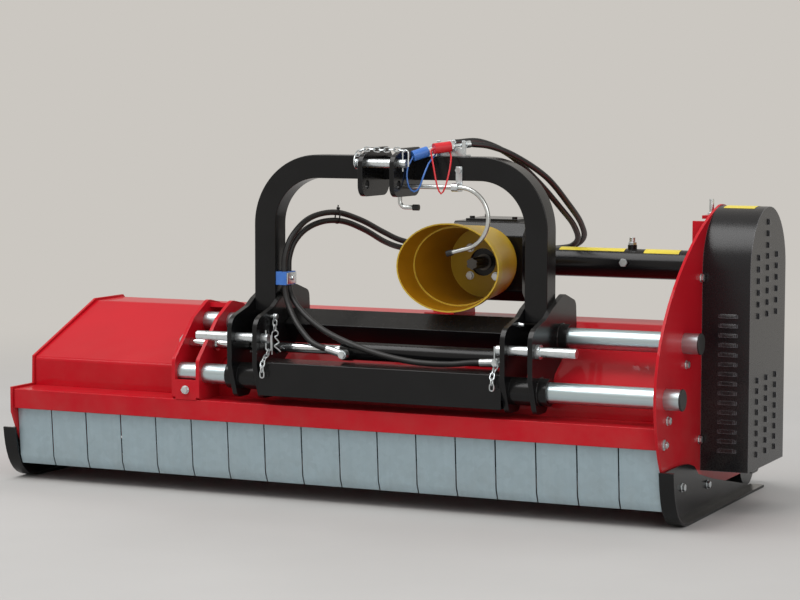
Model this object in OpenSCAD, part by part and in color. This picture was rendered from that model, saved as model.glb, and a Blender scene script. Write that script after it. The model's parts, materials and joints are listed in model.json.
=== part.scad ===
// Flail mower for a tractor three-point hitch, with a hydraulic side shift.
// Millimetres. Front (tractor side) is -Y, the belt drive is at +X, the ground is z = 0.

/* [Cutting chamber] */
// Spacing of the seventeen front flaps along the machine
flap_pitch = 125; // [119:1:132]
// Gap between two neighbouring flaps
flap_gap = 4; // [2:0.5:8]
// Thickness of a flap
flap_t = 4; // [3:0.5:5]
// Drop from the flap hinge to the flap's lower edge
flap_drop = 193; // [170:1:205]
// Diameter of the rod that the flaps hang on
flap_rod_d = 12; // [10:1:14]
// Height of the flap hinge above the ground
flap_hinge_z = 245; // [240:1:250]
// Thickness of the two side plates
side_t = 8; // [6:1:12]
// Thickness of the hood sheet
hood_t = 5; // [4:1:8]
// Height of the hood's flat top
hood_top_z = 532; // [525:1:545]
// Height of the front beam's upper face
beam_top_z = 292; // [286:1:298]
// Height of the front beam's face
beam_h = 61; // [52:1:70]
// Wall of the front beam
beam_t = 6; // [5:1:8]
// Depth of the front beam's ledge, back to the hood
ledge_d = 124; // [115:1:128]

/* [Rotor and roller] */
// Height of the rotor axis above the ground
rotor_z = 255; // [250:1:262]
// Outer diameter of the rotor tube
rotor_d = 160; // [140:1:170]
// Radius of the hammer pins about the rotor axis
hammer_pin_r = 115; // [112:1:120]
// Length of a hammer from its pin to its edge
hammer_l = 100; // [85:1:105]
// Hammers in each of the two rows
hammer_count = 10; // [8:1:11]
// Diameter of the rear roller
roller_d = 160; // [140:1:166]
// Distance of the roller axis behind the flap plane
roller_y = 880; // [870:1:900]

/* [Belt drive] */
// Height of the drive tube and upper pulley axis
drive_z = 710; // [700:1:720]
// Outer diameter of the drive tube
drive_tube_d = 88.9; // [80:0.1:95]
// Diameter of the upper pulley
drive_pulley_d = 300; // [280:1:310]
// Diameter of the lower pulley
driven_pulley_d = 210; // [190:1:215]
// Depth of the belt guard along the machine
guard_w = 144; // [135:1:160]
// Half of the belt guard's width, the radius of its top
guard_r = 181; // [178:1:190]
// Sheet of the belt guard
guard_t = 3; // [2:0.5:5]
// Louvres pressed in the guard's front
louvre_count = 15; // [8:1:15]

/* [Gearbox and power take-off] */
// Distance of the input shaft from the middle of the flap row
gearbox_offset = 365; // [345:1:380]
// Edge length of the gearbox casting
gearbox_s = 240; // [225:1:245]
// Width of the shaft guard's mouth
cone_w = 320; // [290:1:330]
// Height of the shaft guard's mouth
cone_h = 254; // [230:1:258]
// Diameter of the shaft guard at the gearbox
cone_base_d = 220; // [200:1:228]
// Length of the shaft guard
cone_l = 280; // [250:1:288]

/* [Slide rails] */
// Diameter of the two slide rails
rail_d = 60; // [55:1:64]
// Height of the lower rail
rail_low_z = 371; // [368:1:375]
// Height of the upper rail
rail_high_z = 513; // [508:1:518]
// Rail end standing out of the right side plate
rail_out = 45; // [30:1:60]

/* [Hitch frame] */
// Distance of the hitch frame's middle from the middle of the flap row, at rest
hitch_offset = 207; // [190:1:220]
// Spacing of the two lower link points
link_spread = 880; // [860:1:900]
// Space between the two plates of a lower link point
link_gap = 70; // [66:1:76]
// Thickness of the link plates
link_t = 15; // [12:1:18]
// Diameter of the lower link pins
link_pin_d = 28; // [22:1:32]
// Free length of a lower link pin outside its plates
link_pin_out = 120; // [90:1:130]
// Diameter of the top link pin
top_pin_d = 25; // [19:1:28]
// Side of the arch's square tube
arch_s = 70; // [64:1:76]
// Height of the arch
arch_top_z = 1036; // [1010:1:1060]
// Bend radius at the middle of the arch tube
arch_bend = 177; // [150:1:190]
// Diameter of the cylinder's barrel
barrel_d = 55; // [50:1:58]
// Diameter of the cylinder's rod
piston_rod_d = 30; // [25:1:35]
// Outer diameter of the hydraulic hoses
hose_d = 18; // [14:1:18]

/* [Hidden] */
NODES = [
    "rotor_hood", "front_beam", "left_side_plate", "right_side_plate", "skids",
    "guide_rails", "rail_caps", "rail_bracket", "gearbox", "drive_tube", "pto_guard",
    "belt_guard", "v_belts", "rotor_bearings", "flap_rod", "roller_brackets",
    "chassis_fasteners", "cylinder_rod",
    "link_plates", "slide_beams", "arch", "top_link_bracket", "hitch_pins", "clip_chains",
    "cylinder_barrel", "hose_left", "hose_right", "hose_clamp", "hose_fittings",
    "coupler_bracket", "quick_couplers", "red_dust_cap", "blue_dust_cap", "hook_strap",
    "pto_hook", "rotor", "driven_pulley", "hammers_front", "hammers_rear",
    "cross_shaft", "drive_pulley", "pto_shaft", "rear_roller",
    "flap_01", "flap_02", "flap_03", "flap_04", "flap_05", "flap_06", "flap_07",
    "flap_08", "flap_09", "flap_10", "flap_11", "flap_12", "flap_13", "flap_14",
    "flap_15", "flap_16", "flap_17"
];
$fn = 48;
flap_nodes = [for (n = NODES) if (n[0] == "f" && n[1] == "l" && n[4] == "_" && n != "flap_rod") n];

// Radial running fit of shafts and pins, and the gap of a clearance hole
fit = 0.05;
hole_gap = 0.3;
bore_cut = 1;
corner_steps = 6;

// Places along X: the chamber lies between the inner faces of the side plates
chamber_w = len(flap_nodes) * flap_pitch;
left_out = -side_t;
right_out = chamber_w + side_t;
hitch_x = chamber_w / 2 + hitch_offset;
pto_x = chamber_w / 2 + gearbox_offset;
guard_end = right_out + guard_w;

// Front edge and lower edge of the side plates
plate_front_y = -68;
plate_low_z = 60;

// Skid sole: its width outside a side plate, its steel and the height of its front tip
skid_w = 36;
skid_t = 8;
skid_tip_z = 168;

// Front beam and hood profile
beam_y = -20;
hood_y = beam_y + ledge_d;
hood_wall_z = beam_top_z + 88;
hood_slope_y = hood_y + 373;
hood_back_y = 795;

// Flap hinge
flap_hinge_y = 2;
flap_rod_r = flap_rod_d / 2;
flap_eye_r = flap_rod_r + fit + flap_t;

// Drive line
rotor_y = 518;
rotor_shaft_r = 30;
cross_shaft_r = 25;
pto_shaft_r = 25;
bearing_w = 40;
tube_wall = 6;
tube_flange_r = 75;
flange_t = 15;
gearbox_front = rotor_y - gearbox_s / 2;
boss_h = 12;
cone_y = gearbox_front - boss_h;
gearbox_left = pto_x - gearbox_s / 2;
gearbox_right = pto_x + gearbox_s / 2;
pulley_x = right_out + bearing_w + 8;
pulley_w = 68;
belt_count = 4;
belt_pitch = 16;
belt_w = 10;
belt_h = 10;
guard_bottom_z = rotor_z - 128;
dimple_out = 5;

// Rails
rail_r = rail_d / 2;
rail_low_y = 20;
rail_high_y = 181;
rails = [[rail_low_y, rail_low_z], [rail_high_y, rail_high_z]];
rail_left = 572;
bracket_t = 12;
bracket_pitch = 83;
bracket_right = rail_left + bracket_pitch + bracket_t;
rail_end = right_out + rail_out;
cap_t = 6;

// Link plates, counted from the middle of the hitch frame
link_inner = link_spread / 2 - link_gap / 2;
link_outer = link_spread / 2 + link_gap / 2;
bush_t = 10;
bush_r = rail_r + fit + bush_t;
bush_out = 28;
link_pin_y = -15;
link_pin_z = 490;
link_pin_r = link_pin_d / 2;
arch_y = 133;
arch_wall = 6;
arch_foot_z = rail_high_z + bush_r + 7;
low_beam_h = 100;
low_beam_d = 120;
high_beam_s = 76;
high_beam_turn = 35;
slide_wall = 5;

// Top link bracket
mast_t = 15;
mast_gap = 86;
top_pin_y = -15;
top_pin_z = arch_top_z - 19;
top_pin_r = top_pin_d / 2;
top_pin_over = 24;
clip_in = 12;
ring_in = 18;

// Cylinder between the rails
cyl_y = 80;
cyl_z = 455;
rod_r = piston_rod_d / 2;
barrel_r = barrel_d / 2;
barrel_wall = 5;
barrel_l = 556;
barrel_right = hitch_x + link_inner - link_t;
barrel_left = barrel_right - barrel_l;
gland_l = 30;
piston_l = 40;
piston_x = barrel_left + 400;

// Parking hook for the drive shaft
hook_y = 67;
hook_z = arch_top_z - 88;
hook_r = 6.5;
hook_strap_x = hitch_x + 200;
j_bend = 18;
hook_left_x = hitch_x + mast_gap / 2 - j_bend - bore_cut;

// The origin lies at the middle of the outline, on the ground
x_low = left_out - max(skid_w, bearing_w);
x_mid = (x_low + guard_end + dimple_out) / 2;
y_low = plate_front_y;
y_high = roller_y + roller_d / 2;
y_mid = (y_low + y_high) / 2;

// Vector helpers
function unit(v) = v / norm(v);
function left_of(v) = [-v[1], v[0]];
function turned(v, a) = [v[0] * cos(a) - v[1] * sin(a), v[0] * sin(a) + v[1] * cos(a)];
function xy(p) = [p[0], p[1]];
function turn_of(a, b) = a[0] * b[1] - a[1] * b[0];

// Arc that rounds corner b, between a and c, to radius r
function corner(a, b, c, r) =
    let (u = unit(a - b), v = unit(c - b), h = acos(u * v) / 2,
         m = b + unit(u + v) * r / sin(h), s = b + u * r / tan(h) - m,
         sweep = sign(turn_of(b - a, c - b)) * (180 - 2 * h))
    [for (k = [0:corner_steps]) m + turned(s, sweep * k / corner_steps)];

// Outline whose points are [x, y] or [x, y, corner radius]
function rounded(p) =
    let (n = len(p))
    [for (i = [0:n - 1])
        each len(p[i]) < 3 ? [p[i]]
            : corner(xy(p[(i + n - 1) % n]), xy(p[i]), xy(p[(i + 1) % n]), p[i][2])];

// Closed outline of a bent sheet of thickness t, laid to the right of its path
function sheet(p, t) =
    let (n = len(p))
    concat(p, [for (k = [1:n])
        let (i = n - k,
             a = left_of(unit(i > 0 ? p[i] - p[i - 1] : p[1] - p[0])),
             b = left_of(unit(i < n - 1 ? p[i + 1] - p[i] : p[n - 1] - p[n - 2])),
             m = unit(a + b))
        p[i] - m * t / (m * a)]);

function arc(c, r, a0, a1, n) = [for (k = [0:n]) c + r * [cos(a0 + (a1 - a0) * k / n),
                                                          sin(a0 + (a1 - a0) * k / n)]];
function bezier(a, b, c, d, n) =
    [for (k = [0:n]) let (t = k / n, s = 1 - t)
        a * s * s * s + b * 3 * t * s * s + c * 3 * t * t * s + d * t * t * t];

// Smooth curve through hand-chosen points, and a round tube swept along it
function spline_at(p, i, t) =
    let (n = len(p), a = p[max(i - 1, 0)], b = p[i], c = p[i + 1], d = p[min(i + 2, n - 1)])
    0.5 * (2 * b + (c - a) * t + (2 * a - 5 * b + 4 * c - d) * t * t
           + (3 * b - a - 3 * c + d) * t * t * t);
function spline(p, steps) =
    concat([for (i = [0:len(p) - 2], k = [0:steps - 1]) spline_at(p, i, k / steps)], [p[len(p) - 1]]);
function heading(c, i) = unit(c[min(i + 1, len(c) - 1)] - c[max(i - 1, 0)]);
function carried(c, i) =
    let (d = heading(c, i),
         n = i == 0 ? (abs(d[2]) < 0.9 ? [0, 0, 1] : [0, 1, 0]) : carried(c, i - 1))
    unit(n - d * (n * d));

module loft(rings, closed = false) {
    m = len(rings);
    s = len(rings[0]);
    last = closed ? m - 1 : m - 2;
    walls = [for (i = [0:last], j = [0:s - 1])
        let (a = i * s + j, b = i * s + (j + 1) % s,
             c = ((i + 1) % m) * s + (j + 1) % s, d = ((i + 1) % m) * s + j)
        each [[a, b, c], [a, c, d]]];
    ends = closed ? [] : [[for (j = [0:s - 1]) s - 1 - j], [for (j = [0:s - 1]) (m - 1) * s + j]];
    polyhedron([for (r = rings) each r], concat(walls, ends), convexity = 6);
}

module tube_along(route, r, sides, steps) {
    c = spline(route, steps);
    loft([for (i = [0:len(c) - 1])
        let (n = carried(c, i), b = cross(heading(c, i), n))
        [for (j = [0:sides - 1]) c[i] - n * r * cos(360 * j / sides) + b * r * sin(360 * j / sides)]]);
}

// Solids laid along one axis
module along_x(x0, x1) translate([x0, 0, 0]) rotate([90, 0, 90]) linear_extrude(x1 - x0) children();
module along_y(y0, y1) translate([0, y0, 0]) rotate([-90, 0, 0]) linear_extrude(y1 - y0) children();
module rod_x(y, z, x0, x1, r) translate([x0, y, z]) rotate([0, 90, 0]) cylinder(r = r, h = x1 - x0);
module rod_y(x, z, y0, y1, r) translate([x, y0, z]) rotate([-90, 0, 0]) cylinder(r = r, h = y1 - y0);
module hex_x(y, z, x0, x1, r) translate([x0, y, z]) rotate([0, 90, 0]) cylinder(r = r, h = x1 - x0, $fn = 6);
module placed() translate([-x_mid, -y_mid, 0]) children();

// Bolts through a side plate: head outside, shank in the plate, nut face inside
bolt_r = 6;
bolt_head_r = 11;
bolt_head_h = 8;
washer_r = 13;
washer_t = 2.5;
right_bolts = [[rail_low_y + 12, rail_low_z - 62], [rail_high_y + 12, rail_high_z - 62],
               [guard_front_y() - 16, drive_z - 20], [guard_front_y() - 16, guard_bottom_z + 92]];
skid_bolt = [145, 105];
skid_rear_bolt = [380, 80];
arm_bolts = [[745, 300], [745, 200]];
outer_bolts = concat([skid_bolt, skid_rear_bolt], arm_bolts);
function guard_front_y() = rotor_y - guard_r;

module side_bolt_right(p, x) {
    rod_x(p[0], p[1], x, x + washer_t, washer_r);
    hex_x(p[0], p[1], x + washer_t, x + washer_t + bolt_head_h, bolt_head_r);
    rod_x(p[0], p[1], chamber_w, x, bolt_r);
}
module side_bolt_left(p, x) {
    rod_x(p[0], p[1], x - washer_t, x, washer_r);
    hex_x(p[0], p[1], x - washer_t - bolt_head_h, x - washer_t, bolt_head_r);
    rod_x(p[0], p[1], x, 0, bolt_r);
}
module bolt_hole(p, x0, x1) rod_x(p[0], p[1], x0 - bore_cut, x1 + bore_cut, bolt_r + hole_gap);

// Lower front edge shared by both side plates
function chin() = bezier([plate_front_y, 380], [plate_front_y, 300], [-40, 210], [5, 154], 8);

function right_plate_outline() = concat(
    bezier([503, drive_z + guard_r + 2], [300, drive_z + 140],
           [plate_front_y, 640], [plate_front_y, 380], 14),
    chin(),
    [[60, plate_low_z], [hood_back_y + 5, plate_low_z], [hood_back_y + 5, 400],
     [rotor_y + guard_r + 4, 520]],
    arc([rotor_y, drive_z], guard_r + 4, 0, 88, 12));

// Hood profile, from the ledge over the top to the rear edge
function hood_path() = rounded([
    [hood_y, beam_top_z], [hood_y, hood_wall_z, 15], [hood_slope_y, hood_top_z, 40],
    [640, hood_top_z, 40], [hood_back_y, 415, 60], [hood_back_y, 180]]);

fin = 7;
function left_plate_outline() = concat(
    [[beam_y - fin, beam_top_z - beam_h - 10], [5, 154], [60, plate_low_z],
     [hood_back_y + 5, plate_low_z], [hood_back_y + 5, 417]],
    [[645, hood_top_z + fin], [hood_slope_y - 6, hood_top_z + fin],
     [hood_y - 5, hood_wall_z + fin - 2], [hood_y - 8, beam_top_z + fin], [beam_y - fin, beam_top_z + fin]]);

module side_plate_bores(x0, x1) {
    rod_x(flap_hinge_y, flap_hinge_z, x0 - bore_cut, x1 + bore_cut, flap_rod_r + fit);
    rod_x(rotor_y, rotor_z, x0 - bore_cut, x1 + bore_cut, rotor_shaft_r + 10);
    for (p = outer_bolts) bolt_hole(p, x0, x1);
}

// Pedestal that carries the gearbox on the hood, set left of the casting
pedestal_w = 100;
pedestal_d = 170;
pedestal_t = 12;
pedestal_z = 690;
pedestal_top_d = 120;
pedestal_ribs = [rotor_y - 55, rotor_y + 45];
rib_t = 10;
rib_drop = 30;

module pedestal() {
    x0 = gearbox_left - pedestal_w;
    translate([x0, rotor_y - pedestal_d / 2, hood_top_z])
        cube([pedestal_w, pedestal_d, pedestal_t]);
    along_x(gearbox_left - pedestal_t, gearbox_left)
        polygon(rounded([[rotor_y - pedestal_d / 2, hood_top_z], [rotor_y + pedestal_d / 2, hood_top_z],
                         [rotor_y + pedestal_top_d / 2, pedestal_z, 20],
                         [rotor_y - pedestal_top_d / 2, pedestal_z, 20]]));
    for (y = pedestal_ribs)
        translate([0, y + rib_t, 0]) rotate([90, 0, 0]) linear_extrude(rib_t)
            polygon([[x0 + rib_t, hood_top_z], [gearbox_left - 1, hood_top_z],
                     [gearbox_left - 1, pedestal_z - rib_drop],
                     [gearbox_left - 2 * rib_t, pedestal_z - rib_drop]]);
}

module rotor_hood() color("firebrick") {
    along_x(0, chamber_w) polygon(sheet(hood_path(), hood_t));
    pedestal();
}

module front_beam() color("firebrick")
    along_x(0, chamber_w) polygon(sheet([[beam_y, beam_top_z - beam_h], [beam_y, beam_top_z],
                                         [hood_y + hood_t, beam_top_z]], beam_t));

module left_side_plate() color("firebrick") difference() {
    along_x(left_out, 0) polygon(left_plate_outline());
    side_plate_bores(left_out, 0);
}

// Tension lug and stop welded inside the right plate, above the tube flange
lug_l = 42;
lug_t = 10;
lug_z = drive_z + 142;
tension_y = rotor_y - 6;
tension_x = chamber_w - 22;
tension_r = 7;
tension_l = 125;
lug_w = 60;
stop_y = tension_y - 120;
stop_z = drive_z + 65;
stop_h = 75;

module tension_lug() {
    translate([chamber_w - lug_l, tension_y - lug_w / 2, lug_z]) cube([lug_l, lug_w, lug_t]);
    translate([chamber_w - lug_l, stop_y, stop_z]) cube([lug_l, lug_t, stop_h]);
}

module right_side_plate() color("firebrick") difference() {
    union() {
        along_x(chamber_w, right_out) polygon(right_plate_outline());
        tension_lug();
    }
    side_plate_bores(chamber_w, right_out);
    for (r = rails)
        rod_x(r[0], r[1], chamber_w - bore_cut, right_out + bore_cut, rail_r + hole_gap);
    for (p = right_bolts) bolt_hole(p, chamber_w, right_out);
    rod_x(rotor_y, drive_z, chamber_w - bore_cut, right_out + bore_cut, cross_shaft_r + fit);
    translate([tension_x, tension_y, lug_z - bore_cut])
        cylinder(r = tension_r + hole_gap, h = lug_t + 2 * bore_cut);
}

// Skid: a bent sole with an upright web bolted outside the side plate
skid_path = concat(bezier([-15, skid_tip_z], [-5, 70], [30, 0], [130, 0], 10), [[876, 0]]);
function skid_web() = concat(
    bezier([-8, skid_tip_z], [2, 70], [30, 4], [130, 4], 10),
    [[860, 4], [720, 34], [430, 90], [300, 122], [260, 150]],
    bezier([230, 158], [190, 172], [60, 172], [-8, skid_tip_z], 6));

module skid(x_web, x_sole) {
    difference() {
        along_x(x_web, x_web + skid_t) polygon(skid_web());
        bolt_hole(skid_bolt, x_web, x_web + skid_t);
        bolt_hole(skid_rear_bolt, x_web, x_web + skid_t);
    }
    along_x(x_sole, x_sole + skid_w + side_t) polygon(sheet([for (k = [1:len(skid_path)])
        skid_path[len(skid_path) - k]], skid_t));
}

module skids() color("dimgray") {
    skid(left_out - skid_t, left_out - skid_w);
    skid(right_out, chamber_w);
}

module guide_rails() color("lightsteelblue")
    for (r = rails) rod_x(r[0], r[1], rail_left, rail_end, rail_r);

module rail_caps() color("black")
    for (r = rails)
        translate([rail_end, r[0], r[1]]) rotate([0, 90, 0]) rotate_extrude()
            polygon(rounded([[0, 0], [rail_r + 1, 0], [rail_r + 1, cap_t, 3], [0, cap_t]]));

// Bracket that holds the left rail ends and the cylinder rod on the hood
tab_y = -22;
tab_t = 14;
tab_h = 60;
function bracket_outline() = concat(
    [[-12, beam_top_z], [hood_y, beam_top_z]],
    [[hood_y, hood_wall_z - 8], [hood_y - 6, hood_wall_z + 10], [hood_y + 4, hood_wall_z + 12]],
    [[290, hood_line_z(290) + 2]],
    rounded([[296, 470], [296, 560, 50], [190, 580, 40], [100, 532, 30], [tab_y, 412, 25], [tab_y, 300]]));
function hood_line_z(y) = hood_wall_z + (hood_top_z - hood_wall_z) * (y - hood_y) / (hood_slope_y - hood_y);

module rail_bracket() color("firebrick") difference() {
    union() {
        for (x = [rail_left, rail_left + bracket_pitch])
            along_x(x, x + bracket_t) polygon(bracket_outline());
        translate([rail_left + bracket_t, tab_y, beam_top_z])
            cube([bracket_pitch - bracket_t, tab_t, tab_h]);
        along_x(rail_left + bracket_t, rail_left + bracket_pitch)
            polygon([[196, 556], [290, 528], [290, 540], [200, 570]]);
    }
    for (r = rails)
        rod_x(r[0], r[1], rail_left - bore_cut, bracket_right + bore_cut, rail_r + hole_gap);
    rod_x(cyl_y, cyl_z, rail_left - bore_cut, bracket_right + bore_cut, rod_r + hole_gap);
}

// Gearbox casting: ribbed cube with round bosses for its shafts and a bolted cover
case_cut = 30;
case_top_cut = 40;
case_corner = 15;
cover_in = 35;
cover_in_y = 45;
cover_t = 9;
case_ribs = [-70, 0, 70];
case_rib_out = 6;
cover_bolt = [70, 60];
shaft_end = 40;
guard_bolt_at = 42;
guard_bolt_l = 22;
guard_bolts = [for (x = [-1, 1], z = [-1, 1]) [pto_x + x * guard_bolt_at, drive_z + z * guard_bolt_at]];
module gearbox() color("black") difference() {
    s = gearbox_s / 2;
    union() {
        along_x(gearbox_left, gearbox_right)
            polygon(rounded([
                [rotor_y - s, drive_z - s + case_cut, case_corner],
                [rotor_y - s + case_cut, drive_z - s, case_corner],
                [rotor_y + s - case_cut, drive_z - s, case_corner],
                [rotor_y + s, drive_z - s + case_cut, case_corner],
                [rotor_y + s, drive_z + s - case_top_cut, case_corner],
                [rotor_y + s - case_top_cut, drive_z + s, case_corner],
                [rotor_y - s + case_top_cut, drive_z + s, case_corner],
                [rotor_y - s, drive_z + s - case_top_cut, case_corner]]));
        rod_y(pto_x, drive_z, cone_y, gearbox_front + bore_cut, cone_base_d / 2 - 12);
        rod_x(rotor_y, drive_z, gearbox_right - bore_cut, gearbox_right + boss_h, tube_flange_r);
        translate([pto_x - s + cover_in, rotor_y - s + cover_in_y, drive_z + s - bore_cut])
            cube([gearbox_s - 2 * cover_in, gearbox_s - 2 * cover_in_y, cover_t]);
        for (x = case_ribs)
            translate([pto_x + x - rib_t / 2, rotor_y - s - case_rib_out, drive_z - s + case_top_cut])
                cube([rib_t, gearbox_s + 2 * case_rib_out, gearbox_s - 2 * cover_in_y]);
        for (x = [-1, 1] * cover_bolt[0], y = [-1, 1] * cover_bolt[1])
            translate([pto_x + x, rotor_y + y, drive_z + s])
                cylinder(r = case_corner * 0.6, h = case_corner, $fn = 6);
    }
    rod_y(pto_x, drive_z, cone_y - bore_cut, rotor_y - shaft_end, pto_shaft_r + fit);
    for (p = guard_bolts)
        rod_y(p[0], p[1], cone_y - bore_cut, cone_y + guard_bolt_l + fit, bolt_r + hole_gap);
    rod_x(rotor_y, drive_z, pto_x + shaft_end, gearbox_right + boss_h + bore_cut, cross_shaft_r + fit);
}

// Drive tube with an oil plug on its front and a breather on its top
breather_x = chamber_w - 270;
breather_boss_r = 14;
breather_boss_h = 12;
plug_r = 7;
plug_out = 10;
plug_x = breather_x - 8;
plug_z = drive_z + 6;
module drive_tube() color("black") difference() {
    union() {
        rod_x(rotor_y, drive_z, gearbox_right + boss_h, chamber_w, drive_tube_d / 2);
        for (x = [gearbox_right + boss_h, chamber_w - flange_t])
            rod_x(rotor_y, drive_z, x, x + flange_t, tube_flange_r);
        translate([breather_x, rotor_y, drive_z]) 
            cylinder(r = breather_boss_r, h = drive_tube_d / 2 + breather_boss_h);
    }
    rod_x(rotor_y, drive_z, gearbox_right, chamber_w + bore_cut, drive_tube_d / 2 - tube_wall);
    translate([breather_x, rotor_y, drive_z]) cylinder(r = plug_r + hole_gap, h = drive_tube_d);
    rod_y(plug_x, plug_z, rotor_y - drive_tube_d, rotor_y, plug_r + hole_gap);
}

// Oval shaft guard: a cone from the gearbox boss to a wider mouth with a lip
cone_wall = 4;
cone_lip = 8;
cone_hole_r = 42;
cone_ridge = 4;
cone_ridge_at = 0.73;
cone_sides = 48;
cone_heel = 10;
cone_step = 8;
cone_flare = 3;
cone_floor = cone_step;
function oval(w, h, y) = [for (j = [0:cone_sides - 1])
    let (a = 360 * j / cone_sides) [pto_x + w / 2 * cos(a), y, drive_z + h / 2 * sin(a)]];
function cone_size(t) = [cone_base_d + (cone_w - cone_base_d) * t, cone_base_d + (cone_h - cone_base_d) * t];
function cone_ring(t, inset) =
    let (s = cone_size(t)) oval(s[0] - 2 * inset, s[1] - 2 * inset, cone_y - cone_l * t);

module guard_bolt(p) {
    face = cone_y - cone_floor;
    rod_y(p[0], p[1], face - washer_t, face, washer_r);
    translate([p[0], face - washer_t, p[1]]) rotate([90, 0, 0])
        cylinder(r = bolt_head_r, h = bolt_head_h, $fn = 6);
    rod_y(p[0], p[1], face - bore_cut, cone_y + guard_bolt_l, bolt_r);
}

module pto_guard() color("goldenrod") difference() {
    back = cone_y;
    loft([oval(2 * cone_hole_r, 2 * cone_hole_r, back),
          cone_ring(0, cone_heel),
          oval(cone_base_d, cone_base_d, back - cone_step),
          cone_ring(0.5, 0), cone_ring(0.88, 0),
          oval(cone_w + 2 * cone_flare, cone_h + 2 * cone_flare, back - cone_l * 0.9),
          oval(cone_w + cone_lip, cone_h + cone_lip, back - cone_l),
          oval(cone_w, cone_h, back - cone_l),
          cone_ring(0.9, cone_wall),
          cone_ring(cone_ridge_at, cone_wall),
          cone_ring(cone_ridge_at, cone_wall + cone_ridge),
          cone_ring(0.5, cone_wall + cone_ridge),
          oval(cone_base_d - 2 * cone_wall, cone_base_d - 2 * cone_wall, back - cone_step),
          oval(2 * cone_hole_r, 2 * cone_hole_r, back - cone_floor)], closed = true);
    for (p = guard_bolts) rod_y(p[0], p[1], back - 2 * cone_floor, back + bore_cut, bolt_r + hole_gap);
}

// Belt guard: a pressed cover with louvres in front and dimples on its end
function guard_outline(inset) = concat(
    [[rotor_y - guard_r + inset, guard_bottom_z + inset],
     [rotor_y + guard_r - inset, guard_bottom_z + inset]],
    arc([rotor_y, drive_z], guard_r - inset, 0, 180, 24));
louvre_l = 56;
louvre_end = 9;
louvre_h = 12;
louvre_out = 5;
louvre_pitch = 28;
louvre_top_z = drive_z - 135;
dimple_s = 22;
dimple_skew = 0.8;
dimple_pitch = 34;

// A louvre is a lip that falls back to the sheet at its top and its two ends
module louvre_lip(l, out) translate([-l / 2, 0, 0]) rotate([90, 0, 90]) linear_extrude(l)
    polygon([[1, 0], [1, louvre_h], [-out * 0.4, louvre_h * 0.8], [-out, 1], [-out, 0]]);
module louvre() {
    louvre_lip(louvre_l, louvre_out / 2);
    louvre_lip(louvre_l - louvre_end, louvre_out * 0.8);
    louvre_lip(louvre_l - 2 * louvre_end, louvre_out);
}

module dimple() rotate([0, 0, 90]) rotate([90, 0, 0]) translate([0, 0, -1]) linear_extrude(dimple_out + 1)
    polygon([[-dimple_s / 2, 0], [dimple_s / 2, 0], [-dimple_s / 2, dimple_s * dimple_skew]]);

dimple_rows = [for (k = [0:2]) [drive_z + 128 - k * dimple_pitch, 0],
               for (k = [0:5]) [drive_z + 28 - k * dimple_pitch, 1],
               for (k = [0:7]) [drive_z - 330 - k * 31, 1]];

module belt_guard() color("dimgray") {
    difference() {
        along_x(right_out, guard_end) polygon(guard_outline(0));
        along_x(right_out - bore_cut, guard_end - guard_t) polygon(guard_outline(guard_t));
    }
    for (k = [0:louvre_count - 1])
        translate([right_out + guard_w * 0.55, guard_front_y(), louvre_top_z - k * louvre_pitch]) louvre();
    for (row = dimple_rows, c = row[1] == 0 ? [0] : [-1, 0, 1])
        translate([guard_end, rotor_y + c * 92, row[0]]) dimple();
}

// Pulleys with belt grooves, and the belts that run in them
groove_top = 14;
groove_bottom = 10.8;
groove_d = 12;
function pulley_profile(r, bore) = concat(
    [[bore, 0], [r, 0]],
    [for (k = [0:belt_count - 1])
        let (c = pulley_w / 2 + (k - (belt_count - 1) / 2) * belt_pitch)
        each [[r, c - groove_top / 2], [r - groove_d, c - groove_bottom / 2],
              [r - groove_d, c + groove_bottom / 2], [r, c + groove_top / 2]]],
    [[r, pulley_w], [bore, pulley_w]]);

module pulley(z, r, bore) translate([pulley_x, rotor_y, z]) rotate([0, 90, 0])
    rotate_extrude($fn = 64) polygon(pulley_profile(r, bore));

// Tangent loop round the two pulleys at a height above each groove's bottom
function belt_loop(rise) =
    let (r1 = drive_pulley_d / 2 - groove_d + rise, r2 = driven_pulley_d / 2 - groove_d + rise,
         lean = asin((r1 - r2) / (drive_z - rotor_z)))
    concat(arc([rotor_y, drive_z], r1, -lean, 180 + lean, 24),
           arc([rotor_y, rotor_z], r2, 180 + lean, 360 - lean, 24));

module v_belts() color("black")
    for (k = [0:belt_count - 1])
        translate([pulley_x + pulley_w / 2 + (k - (belt_count - 1) / 2) * belt_pitch, 0, 0])
            difference() {
                along_x(-belt_w / 2, belt_w / 2) polygon(belt_loop(1 + belt_h));
                along_x(-belt_w / 2 - bore_cut, belt_w / 2 + bore_cut) polygon(belt_loop(1));
            }

module drive_pulley() color("gray") pulley(drive_z, drive_pulley_d / 2, cross_shaft_r);
module driven_pulley() color("gray") pulley(rotor_z, driven_pulley_d / 2, rotor_shaft_r);

// Flanged bearing housings outside the side plates
module bearing(x0) difference() {
    union() {
        translate([x0, rotor_y - 75, rotor_z - 75]) cube([14, 150, 150]);
        rod_x(rotor_y, rotor_z, x0, x0 + bearing_w, 62);
    }
    rod_x(rotor_y, rotor_z, x0 - bore_cut, x0 + bearing_w + bore_cut, rotor_shaft_r + fit);
}

module rotor_bearings() color("slategray") {
    translate([left_out, 0, 0]) mirror([1, 0, 0]) bearing(0);
    bearing(right_out);
}

module flap_rod() color("silver") {
    rod_x(flap_hinge_y, flap_hinge_z, left_out - 10, right_out + 14, flap_rod_r);
    rod_x(flap_hinge_y, flap_hinge_z, right_out, right_out + 3, flap_rod_r * 2.6);
    hex_x(flap_hinge_y, flap_hinge_z, right_out + 3, right_out + 11, flap_rod_r * 1.8);
    rod_x(flap_hinge_y, flap_hinge_z, left_out - 3, left_out, flap_rod_r * 2.6);
}

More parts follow.
